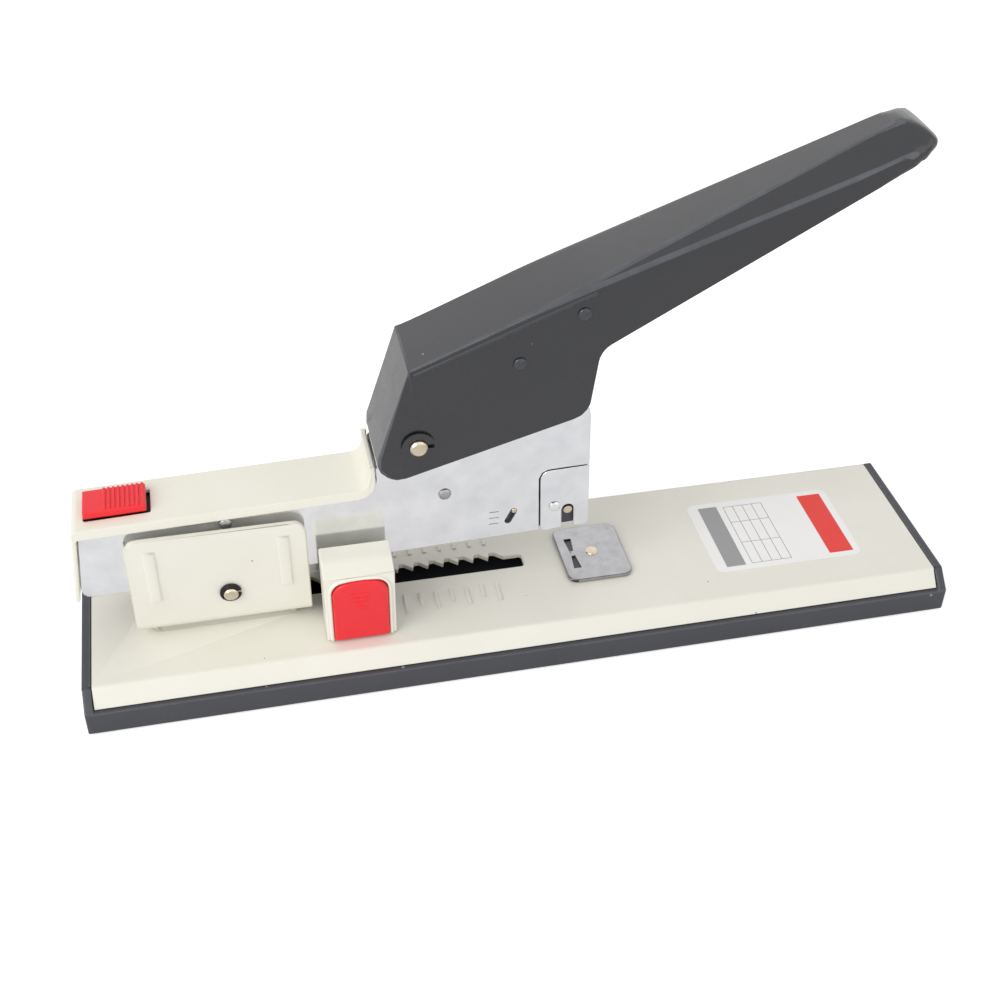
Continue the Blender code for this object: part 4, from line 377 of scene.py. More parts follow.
class Paint(Enum):
    """The object's finishes, each with what it gives the eye."""

    # Powder-coated steel: a creamy satin coat with a soft orange peel and a few burnt specks.
    CREAM = SpeckledFinish("cream_powder_coat", "#EBE9DE", 0.4, tone_hue="#E4E1D4",
                           grain_mm=0.9, grain_depth_mm=0.012, gloss_swing=0.05,
                           speck_mm=6.0, speck_size=0.04, speck_rarity=0.88)
    # Moulded ABS: a smooth warm white with a low sheen.
    IVORY = Finish("ivory_moulded_abs", "#EEECDF", 0.36, tone_hue="#E8E5D5", grain_mm=0.5,
                   grain_depth_mm=0.006)
    # Moulded polypropylene: a dull dark grey with a spark-eroded grain.
    CHARCOAL = SpeckledFinish("charcoal_polypropylene", "#424349", 0.5, tone_hue="#393A40",
                              grain_mm=0.6, grain_depth_mm=0.05, speck_hue="#8C8C90",
                              speck_mm=7.0)
    # Baked black enamel on pressed steel: satin, with a fine texture and pale dust.
    BLACK = SpeckledFinish("black_baked_enamel", "#1E1F24", 0.3, coat=0.55, tone_hue="#17181C",
                           grain_mm=0.5, grain_depth_mm=0.02, speck_hue="#A8A8AC",
                           speck_mm=6.0, speck_size=0.045, speck_rarity=0.9)
    # Powder coat worn thin on an edge: a shade darker, with brown chips.
    CREAM_EDGE = SpeckledFinish("cream_worn_edge", "#E4E0D0", 0.34, tone_hue="#CFC7AF",
                                tone_mm=5.0, speck_hue="#8C7B60", speck_mm=3.0,
                                speck_size=0.12, speck_rarity=0.85)
    # Moulded edges, polished by hands.
    IVORY_EDGE = Finish("ivory_polished_edge", "#F1EFE4", 0.26, tone_hue="#E6E2D2",
                        tone_mm=6.0, grain_depth_mm=0.002)
    # Charcoal on rounded edges, painted lighter than the face: rubbed wear and a painted
    # highlight.
    CHARCOAL_EDGE = Finish("charcoal_rubbed_edge", "#4D4E54", 0.4, tone_hue="#3B3C42",
                           tone_mm=6.0, grain_depth_mm=0.01)
    # Enamel on rounded edges and folds, glossier and painted lighter: a painted highlight along
    # them.
    BLACK_EDGE = Finish("black_rubbed_edge", "#55565C", 0.2, tone_hue="#36373C", tone_mm=6.0,
                        grain_depth_mm=0.004)
    # Plate polished bright, and ground steel burnished, along a sheet's edge.
    NICKEL_EDGE = Finish("nickel_bright_edge", "#EDEDEE", 0.16, 1.0, tone_hue="#8E8F94",
                         tone_mm=5.0, grain_depth_mm=0.001)
    STEEL_EDGE = Finish("steel_burnished_edge", "#7C7B7F", 0.25, 1.0, tone_hue="#5B5A5E",
                        tone_mm=4.0, grain_depth_mm=0.002)
    # The same enamel, glossier and painted lighter, on rivet heads and beads: a painted highlight.
    GLOSS_BLACK = Finish("rubbed_black_enamel", "#36373C", 0.18, tone_hue="#44454A",
                         grain_mm=0.5, grain_depth_mm=0.006)
    # Moulded glossy ABS in signal red.
    RED = Finish("red_moulded_abs", "#F02832", 0.34, tone_hue="#E6222B", grain_mm=0.4,
                 grain_depth_mm=0.008)
    # Nickel plate on rolled steel: bright, with smudges and faint rolling lines.
    NICKEL = Finish("nickel_plated_steel", "#EEEFF1", 0.13, 1.0, tone_hue="#D3D4D9",
                    tone_mm=9.0, tone_amount=0.6, gloss_mm=5.0, gloss_swing=0.07,
                    grain_mm=0.25, grain_depth_mm=0.002, grain_stretch=(0.06, 1.0, 1.0))
    # Ground tool steel: satin grey with fine grinding lines.
    STEEL = Finish("ground_steel", "#B3B2B5", 0.3, 1.0, tone_hue="#8B8A8E", tone_mm=4.0,
                   grain_mm=0.3, grain_depth_mm=0.006, grain_stretch=(0.08, 1.0, 1.0))
    # Yellow zinc on turned pins: a warm bright metal.
    CHAMPAGNE = Finish("zinc_plated_steel", "#DCD0BA", 0.24, 1.0, tone_hue="#B7A88C",
                       tone_mm=3.0, grain_mm=0.3, grain_depth_mm=0.004)
    # Oiled dark steel: blackened working parts. Also put in the anvil's clinch pockets as painted
    # shade.
    DARK_STEEL = Finish("blackened_steel", "#5A5A5E", 0.4, 1.0, tone_hue="#48484B",
                        grain_mm=0.3, grain_depth_mm=0.008)
    # Phosphated spring steel: nearly black, dull. Also put on the frame's roof round the push
    # button as painted shade.
    BLACK_STEEL = Finish("phosphated_spring_steel", "#2E2E31", 0.45, 0.6, tone_hue="#1F1F21",
                         grain_mm=0.3, grain_depth_mm=0.01)
    # Rubber: dull black.
    RUBBER = Finish("black_rubber", "#232324", 0.85, tone_hue="#2C2C2D", grain_mm=0.6,
                    grain_depth_mm=0.03)
    # Coated paper: a flat white print.
    LABEL = PrintedLabel("printed_paper_label", "#F4F3F1", 0.4, tone_hue="#F0EFEC",
                         grain_mm=0.2, grain_depth_mm=0.003)
    # Printing ink on metal: a thin dark line.
    INK = Finish("black_ink", "#2A2A2E", 0.5, tone_hue="#38383C", grain_mm=0.2,
                 grain_depth_mm=0.002)


# Edge variants for rounded edges: cream's is real wear with brown chips; black's and charcoal's
# are painted lighter, a painted highlight.
EDGE_WEAR_AND_HIGHLIGHT = {Paint.CREAM: Paint.CREAM_EDGE, Paint.BLACK: Paint.BLACK_EDGE,
        Paint.NICKEL: Paint.NICKEL_EDGE, Paint.IVORY: Paint.IVORY_EDGE,
        Paint.CHARCOAL: Paint.CHARCOAL_EDGE, Paint.STEEL: Paint.STEEL_EDGE}


class PaintShop:
    """Makes each finish's material once and hands it out."""

    def __init__(self) -> None:
        """Start with no material made."""
        self._made: Dict[Paint, bpy.types.Material] = {}

    def get(self, paint: Paint) -> bpy.types.Material:
        """The material of a finish."""
        if paint not in self._made:
            self._made[paint] = paint.value.build()
        return self._made[paint]


def deselect_all() -> None:
    """Leave edit mode and deselect every object."""
    if bpy.context.object is not None and bpy.context.object.mode != "OBJECT":
        bpy.ops.object.mode_set(mode="OBJECT")
    bpy.ops.object.select_all(action="DESELECT")


def activate(piece: bpy.types.Object) -> None:
    """Select one object alone and make it active."""
    deselect_all()
    piece.select_set(True)
    bpy.context.view_layer.objects.active = piece


@contextmanager
def editing(piece: bpy.types.Object) -> Iterator[None]:
    """Edit mode on one object, with nothing selected at the start.

    Args:
        piece: the object to edit.
    """
    activate(piece)
    bpy.ops.object.mode_set(mode="EDIT")
    bpy.ops.mesh.select_all(action="DESELECT")
    yield
    bpy.ops.object.mode_set(mode="OBJECT")


def pick(piece: bpy.types.Object, element: Element, test: Callable[[Vector], bool]) -> int:
    """Select elements by the place of their middle, in edit mode.

    Args:
        piece: the object in edit mode.
        element: what to select.
        test: whether a middle point is wanted.

    Returns:
        How many were selected.
    """
    bpy.ops.mesh.select_mode(type=element.value)
    bpy.ops.mesh.select_all(action="DESELECT")
    shape = bmesh.from_edit_mesh(piece.data)
    items = {Element.VERT: shape.verts, Element.EDGE: shape.edges, Element.FACE: shape.faces}
    count = 0
    for item in items[element]:
        if element is Element.VERT:
            middle = item.co
        elif element is Element.EDGE:
            middle = (item.verts[0].co + item.verts[1].co) / 2
        else:
            middle = item.calc_center_median()
        if test(middle):
            item.select_set(True)
            count += 1
    shape.select_flush_mode()
    bmesh.update_edit_mesh(piece.data)
    return count


def apply_modifier(piece: bpy.types.Object, kind: str, **settings: object) -> None:
    """Add one modifier, set it and apply it.

    Args:
        piece: the object.
        kind: the modifier's type name.
        **settings: its settings.
    """
    activate(piece)
    modifier = piece.modifiers.new(kind.lower(), kind)
    for key, value in settings.items():
        setattr(modifier, key, value)
    bpy.ops.object.modifier_apply(modifier=modifier.name)


def settle(piece: bpy.types.Object) -> None:
    """Put an object's place, turn and scale into its mesh."""
    activate(piece)
    bpy.ops.object.transform_apply(location=True, rotation=True, scale=True)


def smooth(piece: bpy.types.Object, angle: float = 32.0) -> None:
    """Shade an object smooth below an edge angle in degrees."""
    activate(piece)
    bpy.ops.object.shade_smooth_by_angle(angle=math.radians(angle))


def is_sharp(edge: bmesh.types.BMEdge, angle: float, shortest: float) -> bool:
    """Whether an edge bends by more than an angle in degrees and is long enough."""
    return edge.calc_face_angle(0.0) > math.radians(angle) and edge.calc_length() >= shortest


def middle_of(edge: bmesh.types.BMEdge) -> Vector:
    """The middle of an edge."""
    return (edge.verts[0].co + edge.verts[1].co) / 2


@dataclass(frozen=True)
class ArmAxes:
    """The arm's own axes: zero at its pin, along the arm and up from it."""

    pivot_x: float = -91.5 * MM
    pivot_z: float = 29.9 * MM
    tilt: float = math.radians(1.66)

    def matrix(self) -> Matrix:
        """From arm axes to the frame's."""
        turn = Matrix.Rotation(-self.tilt, 4, "Y")
        return Matrix.Translation((self.pivot_x, 0.0, self.pivot_z)) @ turn


ARM = ArmAxes()


@dataclass
class SubAssembly:
    """A group of pieces on one CAD body, with the means to dress and add to them."""

    frame: dict
    shop: PaintShop
    body: str = "base"
    made: List[bpy.types.Object] = field(default_factory=list)

    def dress(self, paint: Paint, *nodes: str) -> None:
        """Give CAD nodes that keep their own mesh their real finish.

        Args:
            paint: the finish.
            *nodes: the nodes' names.
        """
        for node in nodes:
            item = self.frame["nodes"][node]
            for slot in item.material_slots:
                slot.material = self.shop.get(paint)
            if not item.material_slots:
                item.data.materials.append(self.shop.get(paint))
            LOG.info("%s dressed in %s", node, paint.value.name)

    def copy_node(self, node: str) -> bpy.types.Object:
        """A free copy of a node's mesh, its doubles merged.

        Args:
            node: the node's name.

        Returns:
            The copy, which rides on nothing yet.
        """
        source = self.frame["nodes"][node]
        piece = bpy.data.objects.new(f"{node}_finished", source.data.copy())
        bpy.context.scene.collection.objects.link(piece)
        piece.data.materials.clear()
        with editing(piece):
            bpy.ops.mesh.select_all(action="SELECT")
            bpy.ops.mesh.remove_doubles(threshold=0.002 * MM)
            bpy.ops.mesh.normals_make_consistent(inside=False)
        return piece

    def round_edges(self, piece: bpy.types.Object, radius: float, segments: int,
                    test: Callable[[bmesh.types.BMEdge], bool], slot: int = -1,
                    clamp: bool = False) -> None:
        """Round the edges that a test picks.

        Args:
            piece: the object.
            radius: the rounds' radius.
            segments: how many steps each round has.
            test: whether an edge is rounded.
            slot: the material slot of the new faces; below zero they keep their neighbour's.
            clamp: whether a round may shrink where there's no room for it.
        """
        shape = bmesh.new()
        shape.from_mesh(piece.data)
        layer = shape.edges.layers.float.get("bevel_weight_edge")
        layer = layer or shape.edges.layers.float.new("bevel_weight_edge")
        for edge in shape.edges:
            edge[layer] = 1.0 if edge.is_manifold and test(edge) else 0.0
        shape.to_mesh(piece.data)
        shape.free()
        apply_modifier(piece, "BEVEL", width=radius, segments=segments, limit_method="WEIGHT",
                       use_clamp_overlap=clamp, miter_outer="MITER_ARC", material=slot)

    def copy_with_edge_wear_and_highlight(self, node: str, paint: Paint) -> bpy.types.Object:
        """A free copy of a node with its finish and, as a second slot, that finish's edge variant:
        real wear on cream, a painted highlight on black and charcoal.
        """
        piece = self.copy_node(node)
        for each in (paint, EDGE_WEAR_AND_HIGHLIGHT.get(paint, paint)):
            piece.data.materials.append(self.shop.get(each))
        return piece

    def even_shading(self, piece: bpy.types.Object, angle: float = 32.0) -> None:
        """Smooth the rounds while the flats keep one even tone."""
        smooth(piece, angle)
        apply_modifier(piece, "WEIGHTED_NORMAL", mode="FACE_AREA", weight=100, keep_sharp=True)

    def stand_in(self, piece: bpy.types.Object, node: str, paint: Paint,
                 angle: float = 32.0, name: str = "") -> bpy.types.Object:
        """Shade a shaped piece evenly and let it replace a node.

        Args:
            piece: the object, its shape done.
            node: the node that it stands for.
            paint: its finish.
            angle: the edge angle in degrees below which it is smooth.
            name: its name, where it has none of its own yet.

        Returns:
            The same piece.
        """
        self.even_shading(piece, angle)
        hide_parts(node)
        return self.keep(piece, paint, name)

    def wind(self, node: str, radius: float, wire: float, turns: float, joint: str,
             share: float, play: float = 0.0) -> None:
        """Replace a spring's node by a wound spring.

        Args:
            node: the spring's node.
            radius: the radius of the wire's middle line.
            wire: the wire's radius.
            turns: how many turns it has.
            joint: the joint that presses it; not used.
            share: what is left of its length at the joint's limit; not used.
            play: the gap at each end.
        """
        low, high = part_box(node)
        x = (low.x + high.x) / 2
        spring = self.helix(radius, wire, turns, Vector((x, 0, low.z + play)),
                            Vector((x, 0, high.z - play)))
        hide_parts(node)
        self.keep(spring, Paint.STEEL, f"{node}_wound")
        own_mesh(spring)

    def refine(self, node: str, paint: Paint, radius: float, segments: int = 3,
               angle: float = 32.0, shortest: float = 0.0,
               skip: Callable[[Vector], bool] = lambda middle: False) -> bpy.types.Object:
        """Replace a node by a copy whose sharp edges are rounded.

        Args:
            node: the node's name.
            paint: its finish.
            radius: the radius of the rounded edges.
            segments: how many steps each round has.
            angle: the least edge angle in degrees that is rounded.
            shortest: the least edge length that is rounded, which leaves small holes alone.
            skip: whether an edge with a given middle stays sharp.

        Returns:
            The finished piece.
        """
        piece = self.copy_with_edge_wear_and_highlight(node, paint)
        # The rounds take the edge variant: wear on cream, a painted highlight on black and
        # charcoal.
        self.round_edges(piece, radius, segments, lambda edge: is_sharp(
            edge, angle, shortest) and not skip(middle_of(edge)), slot=1)
        return self.stand_in(piece, node, paint)

    def keep(self, piece: bpy.types.Object, paint: Paint, name: str = "") -> bpy.types.Object:
        """Finish a piece: name it, dress it and let it ride on the body.

        Args:
            piece: the object, its shape done.
            paint: its finish.
            name: its name, where it has none of its own yet.

        Returns:
            The same piece.
        """
        settle(piece)
        if name:
            piece.name = name
            piece.data.name = name
        if not piece.data.materials:
            piece.data.materials.append(self.shop.get(paint))
        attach(piece, self.body)
        self.made.append(piece)
        LOG.info("%s on %s in %s", piece.name, self.body, paint.value.name)
        return piece

    def join(self, pieces: Sequence[bpy.types.Object]) -> bpy.types.Object:
        """Join pieces into the first one."""
        activate(pieces[0])
        for piece in pieces:
            piece.select_set(True)
        bpy.ops.object.join()
        return bpy.context.object

    def arched_slab(self, start: Point, end: Point, corner: float,
                    rise: float) -> bpy.types.Object:
        """A slab whose top has round corners and a crown, as seen along Y.

        Args:
            start: its lowest corner.
            end: its highest corner before the crown.
            corner: the radius of its two top corners.
            rise: how far the crown lifts the middle of the top.

        Returns:
            The slab, its edges still sharp.
        """
        slab = self.plate(start, end)
        middle, half, top = (start[0] + end[0]) / 2, (end[0] - start[0]) / 2, end[2]
        with editing(slab):
            pick(slab, Element.EDGE, lambda p: top - p.z < TINY and half - abs(
                p.x - middle) < TINY)
            bpy.ops.mesh.bevel(offset=corner, segments=6, affect="EDGES")
            pick(slab, Element.EDGE, lambda p: top - p.z < TINY and abs(p.x - middle) < TINY)
            bpy.ops.mesh.subdivide(number_cuts=9)
            shape = bmesh.from_edit_mesh(slab.data)
            for vert in shape.verts:
                if vert.co.z > top - corner - TINY:
                    vert.co.z += rise * (1 - ((vert.co.x - middle) / half) ** 2)
            bmesh.update_edit_mesh(slab.data)
        return slab

    def plate(self, start: Point, end: Point) -> bpy.types.Object:
        """A block between two corners, from a cube primitive.

        Args:
            start: its lowest corner.
            end: its highest corner.

        Returns:
            The block, its place in its mesh.
        """
        deselect_all()
        middle = [(a + b) / 2 for a, b in zip(start, end)]
        bpy.ops.mesh.primitive_cube_add(size=1.0, location=middle)
        piece = bpy.context.object
        piece.scale = [b - a for a, b in zip(start, end)]
        settle(piece)
        return piece

    def bar(self, radius: float, depth: float, middle: Point, axis: str = "Y",
            bevel: float = 0.0, sides: int = 32) -> bpy.types.Object:
        """A round bar with bevelled ends, from a cylinder primitive.

        Args:
            radius: its radius.
            depth: its length.
            middle: the place of its middle.
            axis: the axis that it lies along.
            bevel: the radius of its rims.
            sides: how many sides it has.

        Returns:
            The bar, its place in its mesh.
        """
        deselect_all()
        turn = {"X": (0.0, math.pi / 2, 0.0), "Y": (math.pi / 2, 0.0, 0.0), "Z": (0.0,) * 3}
        bpy.ops.mesh.primitive_cylinder_add(vertices=sides, radius=radius, depth=depth,
                                            location=middle, rotation=turn[axis])
        piece = bpy.context.object
        settle(piece)
        if bevel > 0:
            apply_modifier(piece, "BEVEL", width=bevel, segments=3, limit_method="ANGLE",
                           angle_limit=math.radians(60), use_clamp_overlap=True)
        smooth(piece, 40.0)
        return piece

    def wire(self, points: Sequence[Sequence[float]], radius: float,
             closed: bool = False) -> bpy.types.Object:
        """A round bead along a line of points, made a mesh.

        Args:
            points: the line.
            radius: the bead's radius.
            closed: whether the line joins up.

        Returns:
            The bead.
        """
        curve = bpy.data.curves.new("bead", "CURVE")
        curve.dimensions = "3D"
        curve.bevel_depth = radius
        curve.bevel_resolution = 3
        curve.use_fill_caps = not closed
        spline = curve.splines.new("POLY")
        spline.points.add(len(points) - 1)
        for spot, point in zip(spline.points, points):
            spot.co = (*point, 1.0)
        spline.use_cyclic_u = closed
        piece = bpy.data.objects.new("bead", curve)
        bpy.context.scene.collection.objects.link(piece)
        activate(piece)
        bpy.ops.object.convert(target="MESH")
        piece = bpy.context.object
        smooth(piece, 60.0)
        return piece

    def helix(self, radius: float, wire: float, turns: float, low: Vector, high: Vector,
              closed_turns: float = 1.2) -> bpy.types.Object:
        """A compression spring with closed end turns between two points.

        Args:
            radius: the radius of the wire's middle line.
            wire: the wire's radius.
            turns: how many turns it has.
            low: the middle of its lower end.
            high: the middle of its upper end.
            closed_turns: how many turns lie close at each end.

        Returns:
            The spring.
        """
        axis = high - low
        length = axis.length
        steps = int(turns * 24)
        flat = closed_turns * 2 * wire * 1.05
        points = []
        for step in range(steps + 1):
            turn = turns * step / steps
            if turn < closed_turns:
                rise = flat * turn / closed_turns
            elif turn > turns - closed_turns:
                rise = length - 2 * wire - flat * (turns - turn) / closed_turns
            else:
                share = (turn - closed_turns) / (turns - 2 * closed_turns)
                rise = flat + (length - 2 * wire - 2 * flat) * share
            angle = 2 * math.pi * turn
            points.append(Vector((radius * math.cos(angle), radius * math.sin(angle),
                                  rise + wire)))
        turned = Matrix.Translation(low) @ axis.to_track_quat("Z", "Y").to_matrix().to_4x4()
        return self.wire([tuple(turned @ point) for point in points], wire)


@dataclass
class Base(SubAssembly):
    """The tray, the folded cover with its slot and scale, the anvil, label and bracket."""

    body: str = "base"
    label_thickness: float = 0.12 * MM
    label_corner: float = 3.0 * MM
    clip_share: float = 0.84
    seat: Tuple[float, float] = (-118.0 * MM, -70.0 * MM)
    seat_half: float = 10.0 * MM
    marks_rear: float = -128.0 * MM
    mark_rows: Tuple[Tuple[float, float], ...] = ((-17.0 * MM, -7.0 * MM),
                                                  (11.0 * MM, 15.0 * MM))
    top: float = 13.9 * MM

    def build(self) -> None:
        """Make and dress every piece of the base."""
        self.refine("base_tray", Paint.CHARCOAL, 0.5 * MM, shortest=0.95 * MM)
        self.refine("base_plate", Paint.CREAM, 0.25 * MM, shortest=0.6 * MM,
                    skip=self.on_scale)
        self.anvil()
        low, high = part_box("pivot_bracket")
        self.refine("pivot_bracket", Paint.CREAM, 0.4 * MM, angle=50.0, shortest=0.75 * MM,
                    skip=lambda p: low.x + 1.0 * MM < p.x < high.x - 1.0 * MM
                    and low.z + 4.0 * MM < p.z < high.z - 0.5 * MM)
        self.dress(Paint.RUBBER, "foot_1", "foot_2", "foot_3", "foot_4")
        self.dress(Paint.CHAMPAGNE, "anvil_rivet", "bracket_pin")
        self.dress(Paint.STEEL, "bracket_rivet_rear", "bracket_rivet_front",
                   "bracket_bush_near", "bracket_bush_far")
        for node in ("bracket_clip_near", "bracket_clip_far"):
            self.clip(node)
        self.label()
        self.wind("lift_spring", 3.6 * MM, 0.5 * MM, 7, "arm_pivot", 0.7)

    def clip(self, node: str) -> None:
        """A spring clip in its groove on the pin, its edges rounded.

        Args:
            node: the clip's node.
        """
        clip = self.copy_node(node)
        low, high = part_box(node)
        with editing(clip):
            bpy.ops.mesh.select_all(action="SELECT")
            bpy.ops.transform.resize(value=(self.clip_share, 1.0, self.clip_share),
                                     center_override=(low + high) / 2)
        self.round_edges(clip, 0.12 * MM, 2, lambda edge: is_sharp(edge, 50.0, 0.2 * MM),
                         clamp=True)
        self.stand_in(clip, node, Paint.BLACK_STEEL)

    def on_scale(self, middle: Vector) -> bool:
        """Whether a place lies on the raised marks beside the slot or on the bracket's seat."""
        rear, front = self.seat
        on_seat = rear < middle.x < front and abs(middle.y) < self.seat_half
        return on_seat or self.marks_rear < middle.x < 0.0 and any(
            near < middle.y < far for near, far in self.mark_rows)

    def anvil(self) -> None:
        """The anvil: a thin rounded plate whose clinch pockets are painted dark as painted shade.
        """
        low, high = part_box("anvil_plate")
        inset = 1.0 * MM
        plate = self.refine(
            "anvil_plate", Paint.STEEL, 0.25 * MM,
            skip=lambda p: low.x + inset < p.x < high.x - inset and low.y + inset < p.y
            < high.y - inset)
        plate.data.materials.append(self.shop.get(Paint.DARK_STEEL))
        pocket = len(plate.data.materials) - 1
        # The pocket faces take the dark steel: painted shade in the recesses.
        for face in plate.data.polygons:
            inside = low.x + inset < face.center.x < low.x + 8.0 * MM
            if inside and face.center.z < high.z - 0.1 * MM and face.normal.z > -0.5:
                face.material_index = pocket

    def label(self) -> None:
        """The printed label near the paper's end: a rounded sheet on the cover."""
        print_ = Paint.LABEL.value
        low = self.top + 0.02 * MM
        sheet = self.plate((print_.start, print_.near, low),
                           (print_.end, print_.far, low + self.label_thickness))
        with editing(sheet):
            middle_z = low + self.label_thickness / 2
            pick(sheet, Element.EDGE, lambda p: abs(p.z - middle_z) < 0.02 * MM)
            bpy.ops.mesh.bevel(offset=self.label_corner, segments=8, affect="EDGES")
        self.keep(sheet, Paint.LABEL, "label_sheet")


@dataclass
class Arm(SubAssembly):
    """The plated frame with its cover, pins, slots and springs."""

    body: str = "arm"
    slot_middle: Point = (-4.3 * MM, -9.0 * MM, 42.5 * MM)
    window_start: float = -132.0 * MM
    window_end: float = -109.0 * MM
    window_half: float = 6.6 * MM
    roof_low: float = 54.0 * MM
    roof_front: float = -90.0 * MM

    def build(self) -> None:
        """Make and dress every piece of the arm."""
        shell = self.copy_with_edge_wear_and_highlight("arm_frame", Paint.NICKEL)
        self.round_edges(shell, 0.25 * MM, 3, lambda edge: is_sharp(edge, 50.0, 0.95 * MM)
                         and (middle_of(edge) - Vector(self.slot_middle)).length > 7.0 * MM,
                         slot=1)
        self.paint_roof_shade(shell)
        self.stand_in(shell, "arm_frame", Paint.NICKEL)
        self.refine("rear_cover", Paint.IVORY, 0.5 * MM, shortest=0.5 * MM)
        self.slot_pin()
        self.dress(Paint.STEEL, "rear_rivet", "frame_rivet")
        self.dress(Paint.CHAMPAGNE, "handle_pin")
        self.dress(Paint.BLACK, "handle_clip_near", "handle_clip_far")
        self.dress(Paint.STEEL, "handle_bush_near", "handle_bush_far")
        self.wind("latch_spring", 2.3 * MM, 0.3 * MM, 7, "push_button_press", 0.6)
        self.wind("return_spring", 4.0 * MM, 0.55 * MM, 8, "handle_pivot", 0.6,
                  play=0.2 * MM)

    def paint_roof_shade(self, shell: bpy.types.Object) -> None:
        """Paint the frame's roof dark where it shows round the button: painted shade in the gap.

        Args:
            shell: the frame's copy.
        """
        shell.data.materials.append(self.shop.get(Paint.BLACK_STEEL))
        dull = len(shell.data.materials) - 1
        half = self.window_half
        with editing(shell):
            for co, normal in (((self.window_start, 0, 0), (1, 0, 0)),
                               ((self.window_end, 0, 0), (1, 0, 0)),
                               ((0, -half, 0), (0, 1, 0)), ((0, half, 0), (0, 1, 0))):
                shape = bmesh.from_edit_mesh(shell.data)
                for face in shape.faces:
                    middle = face.calc_center_median()
                    face.select_set(self.on_roof(face.normal, middle)
                                    and middle.x < self.roof_front)
                bmesh.update_edit_mesh(shell.data)
                bpy.ops.mesh.bisect(plane_co=co, plane_no=normal)
        # Roof faces inside the window take the nearly black steel: painted shade.
        for face in shell.data.polygons:
            if (self.on_roof(face.normal, face.center) and abs(face.center.y) < half
                    and self.window_start < face.center.x < self.window_end):
                face.material_index = dull

    def on_roof(self, normal: Vector, middle: Vector) -> bool:
        """Whether a face with a given normal and middle is part of the frame's roof."""
        return normal.z > 0.95 and middle.z > self.roof_low

    def slot_pin(self) -> None:
        """The bright pin end in the slanted slot, and the three printed lines beside it."""
        face = -9.0 * MM
        pin = self.bar(0.85 * MM, 2.2 * MM, (-3.3 * MM, face + 0.9 * MM, 44.3 * MM),
                       bevel=0.2 * MM)
        self.keep(pin, Paint.CHAMPAGNE, "slot_pin_end")
        lines = []
        for number in range(3):
            z = (40.0 + 2.3 * number) * MM
            lines.append(self.plate((-11.2 * MM, face - 0.03 * MM, z),
                                    (-8.2 * MM, face + 0.2 * MM, z + 0.22 * MM)))
        marks = self.join(lines)
        apply_modifier(marks, "BEVEL", width=0.02 * MM, segments=1)
        self.keep(marks, Paint.INK, "printed_slot_lines")


@dataclass
class Magazine(SubAssembly):
    """The staple channel, its rail, its rod and the wrapped head."""

    body: str = "magazine"

    def build(self) -> None:
        """Make and dress every piece of the magazine."""
        self.refine("head_plate", Paint.NICKEL, 0.25 * MM, angle=50.0, shortest=0.75 * MM)
        self.dress(Paint.DARK_STEEL, "magazine_channel")
        self.dress(Paint.STEEL, "staple_rail", "guide_rod")
        self.dress(Paint.NICKEL, "head_rivet_near", "head_rivet_far")
        self.dress(Paint.CHAMPAGNE, "head_pin_near", "head_pin_far")
        self.dress(Paint.CHARCOAL, "magazine_end_cap")


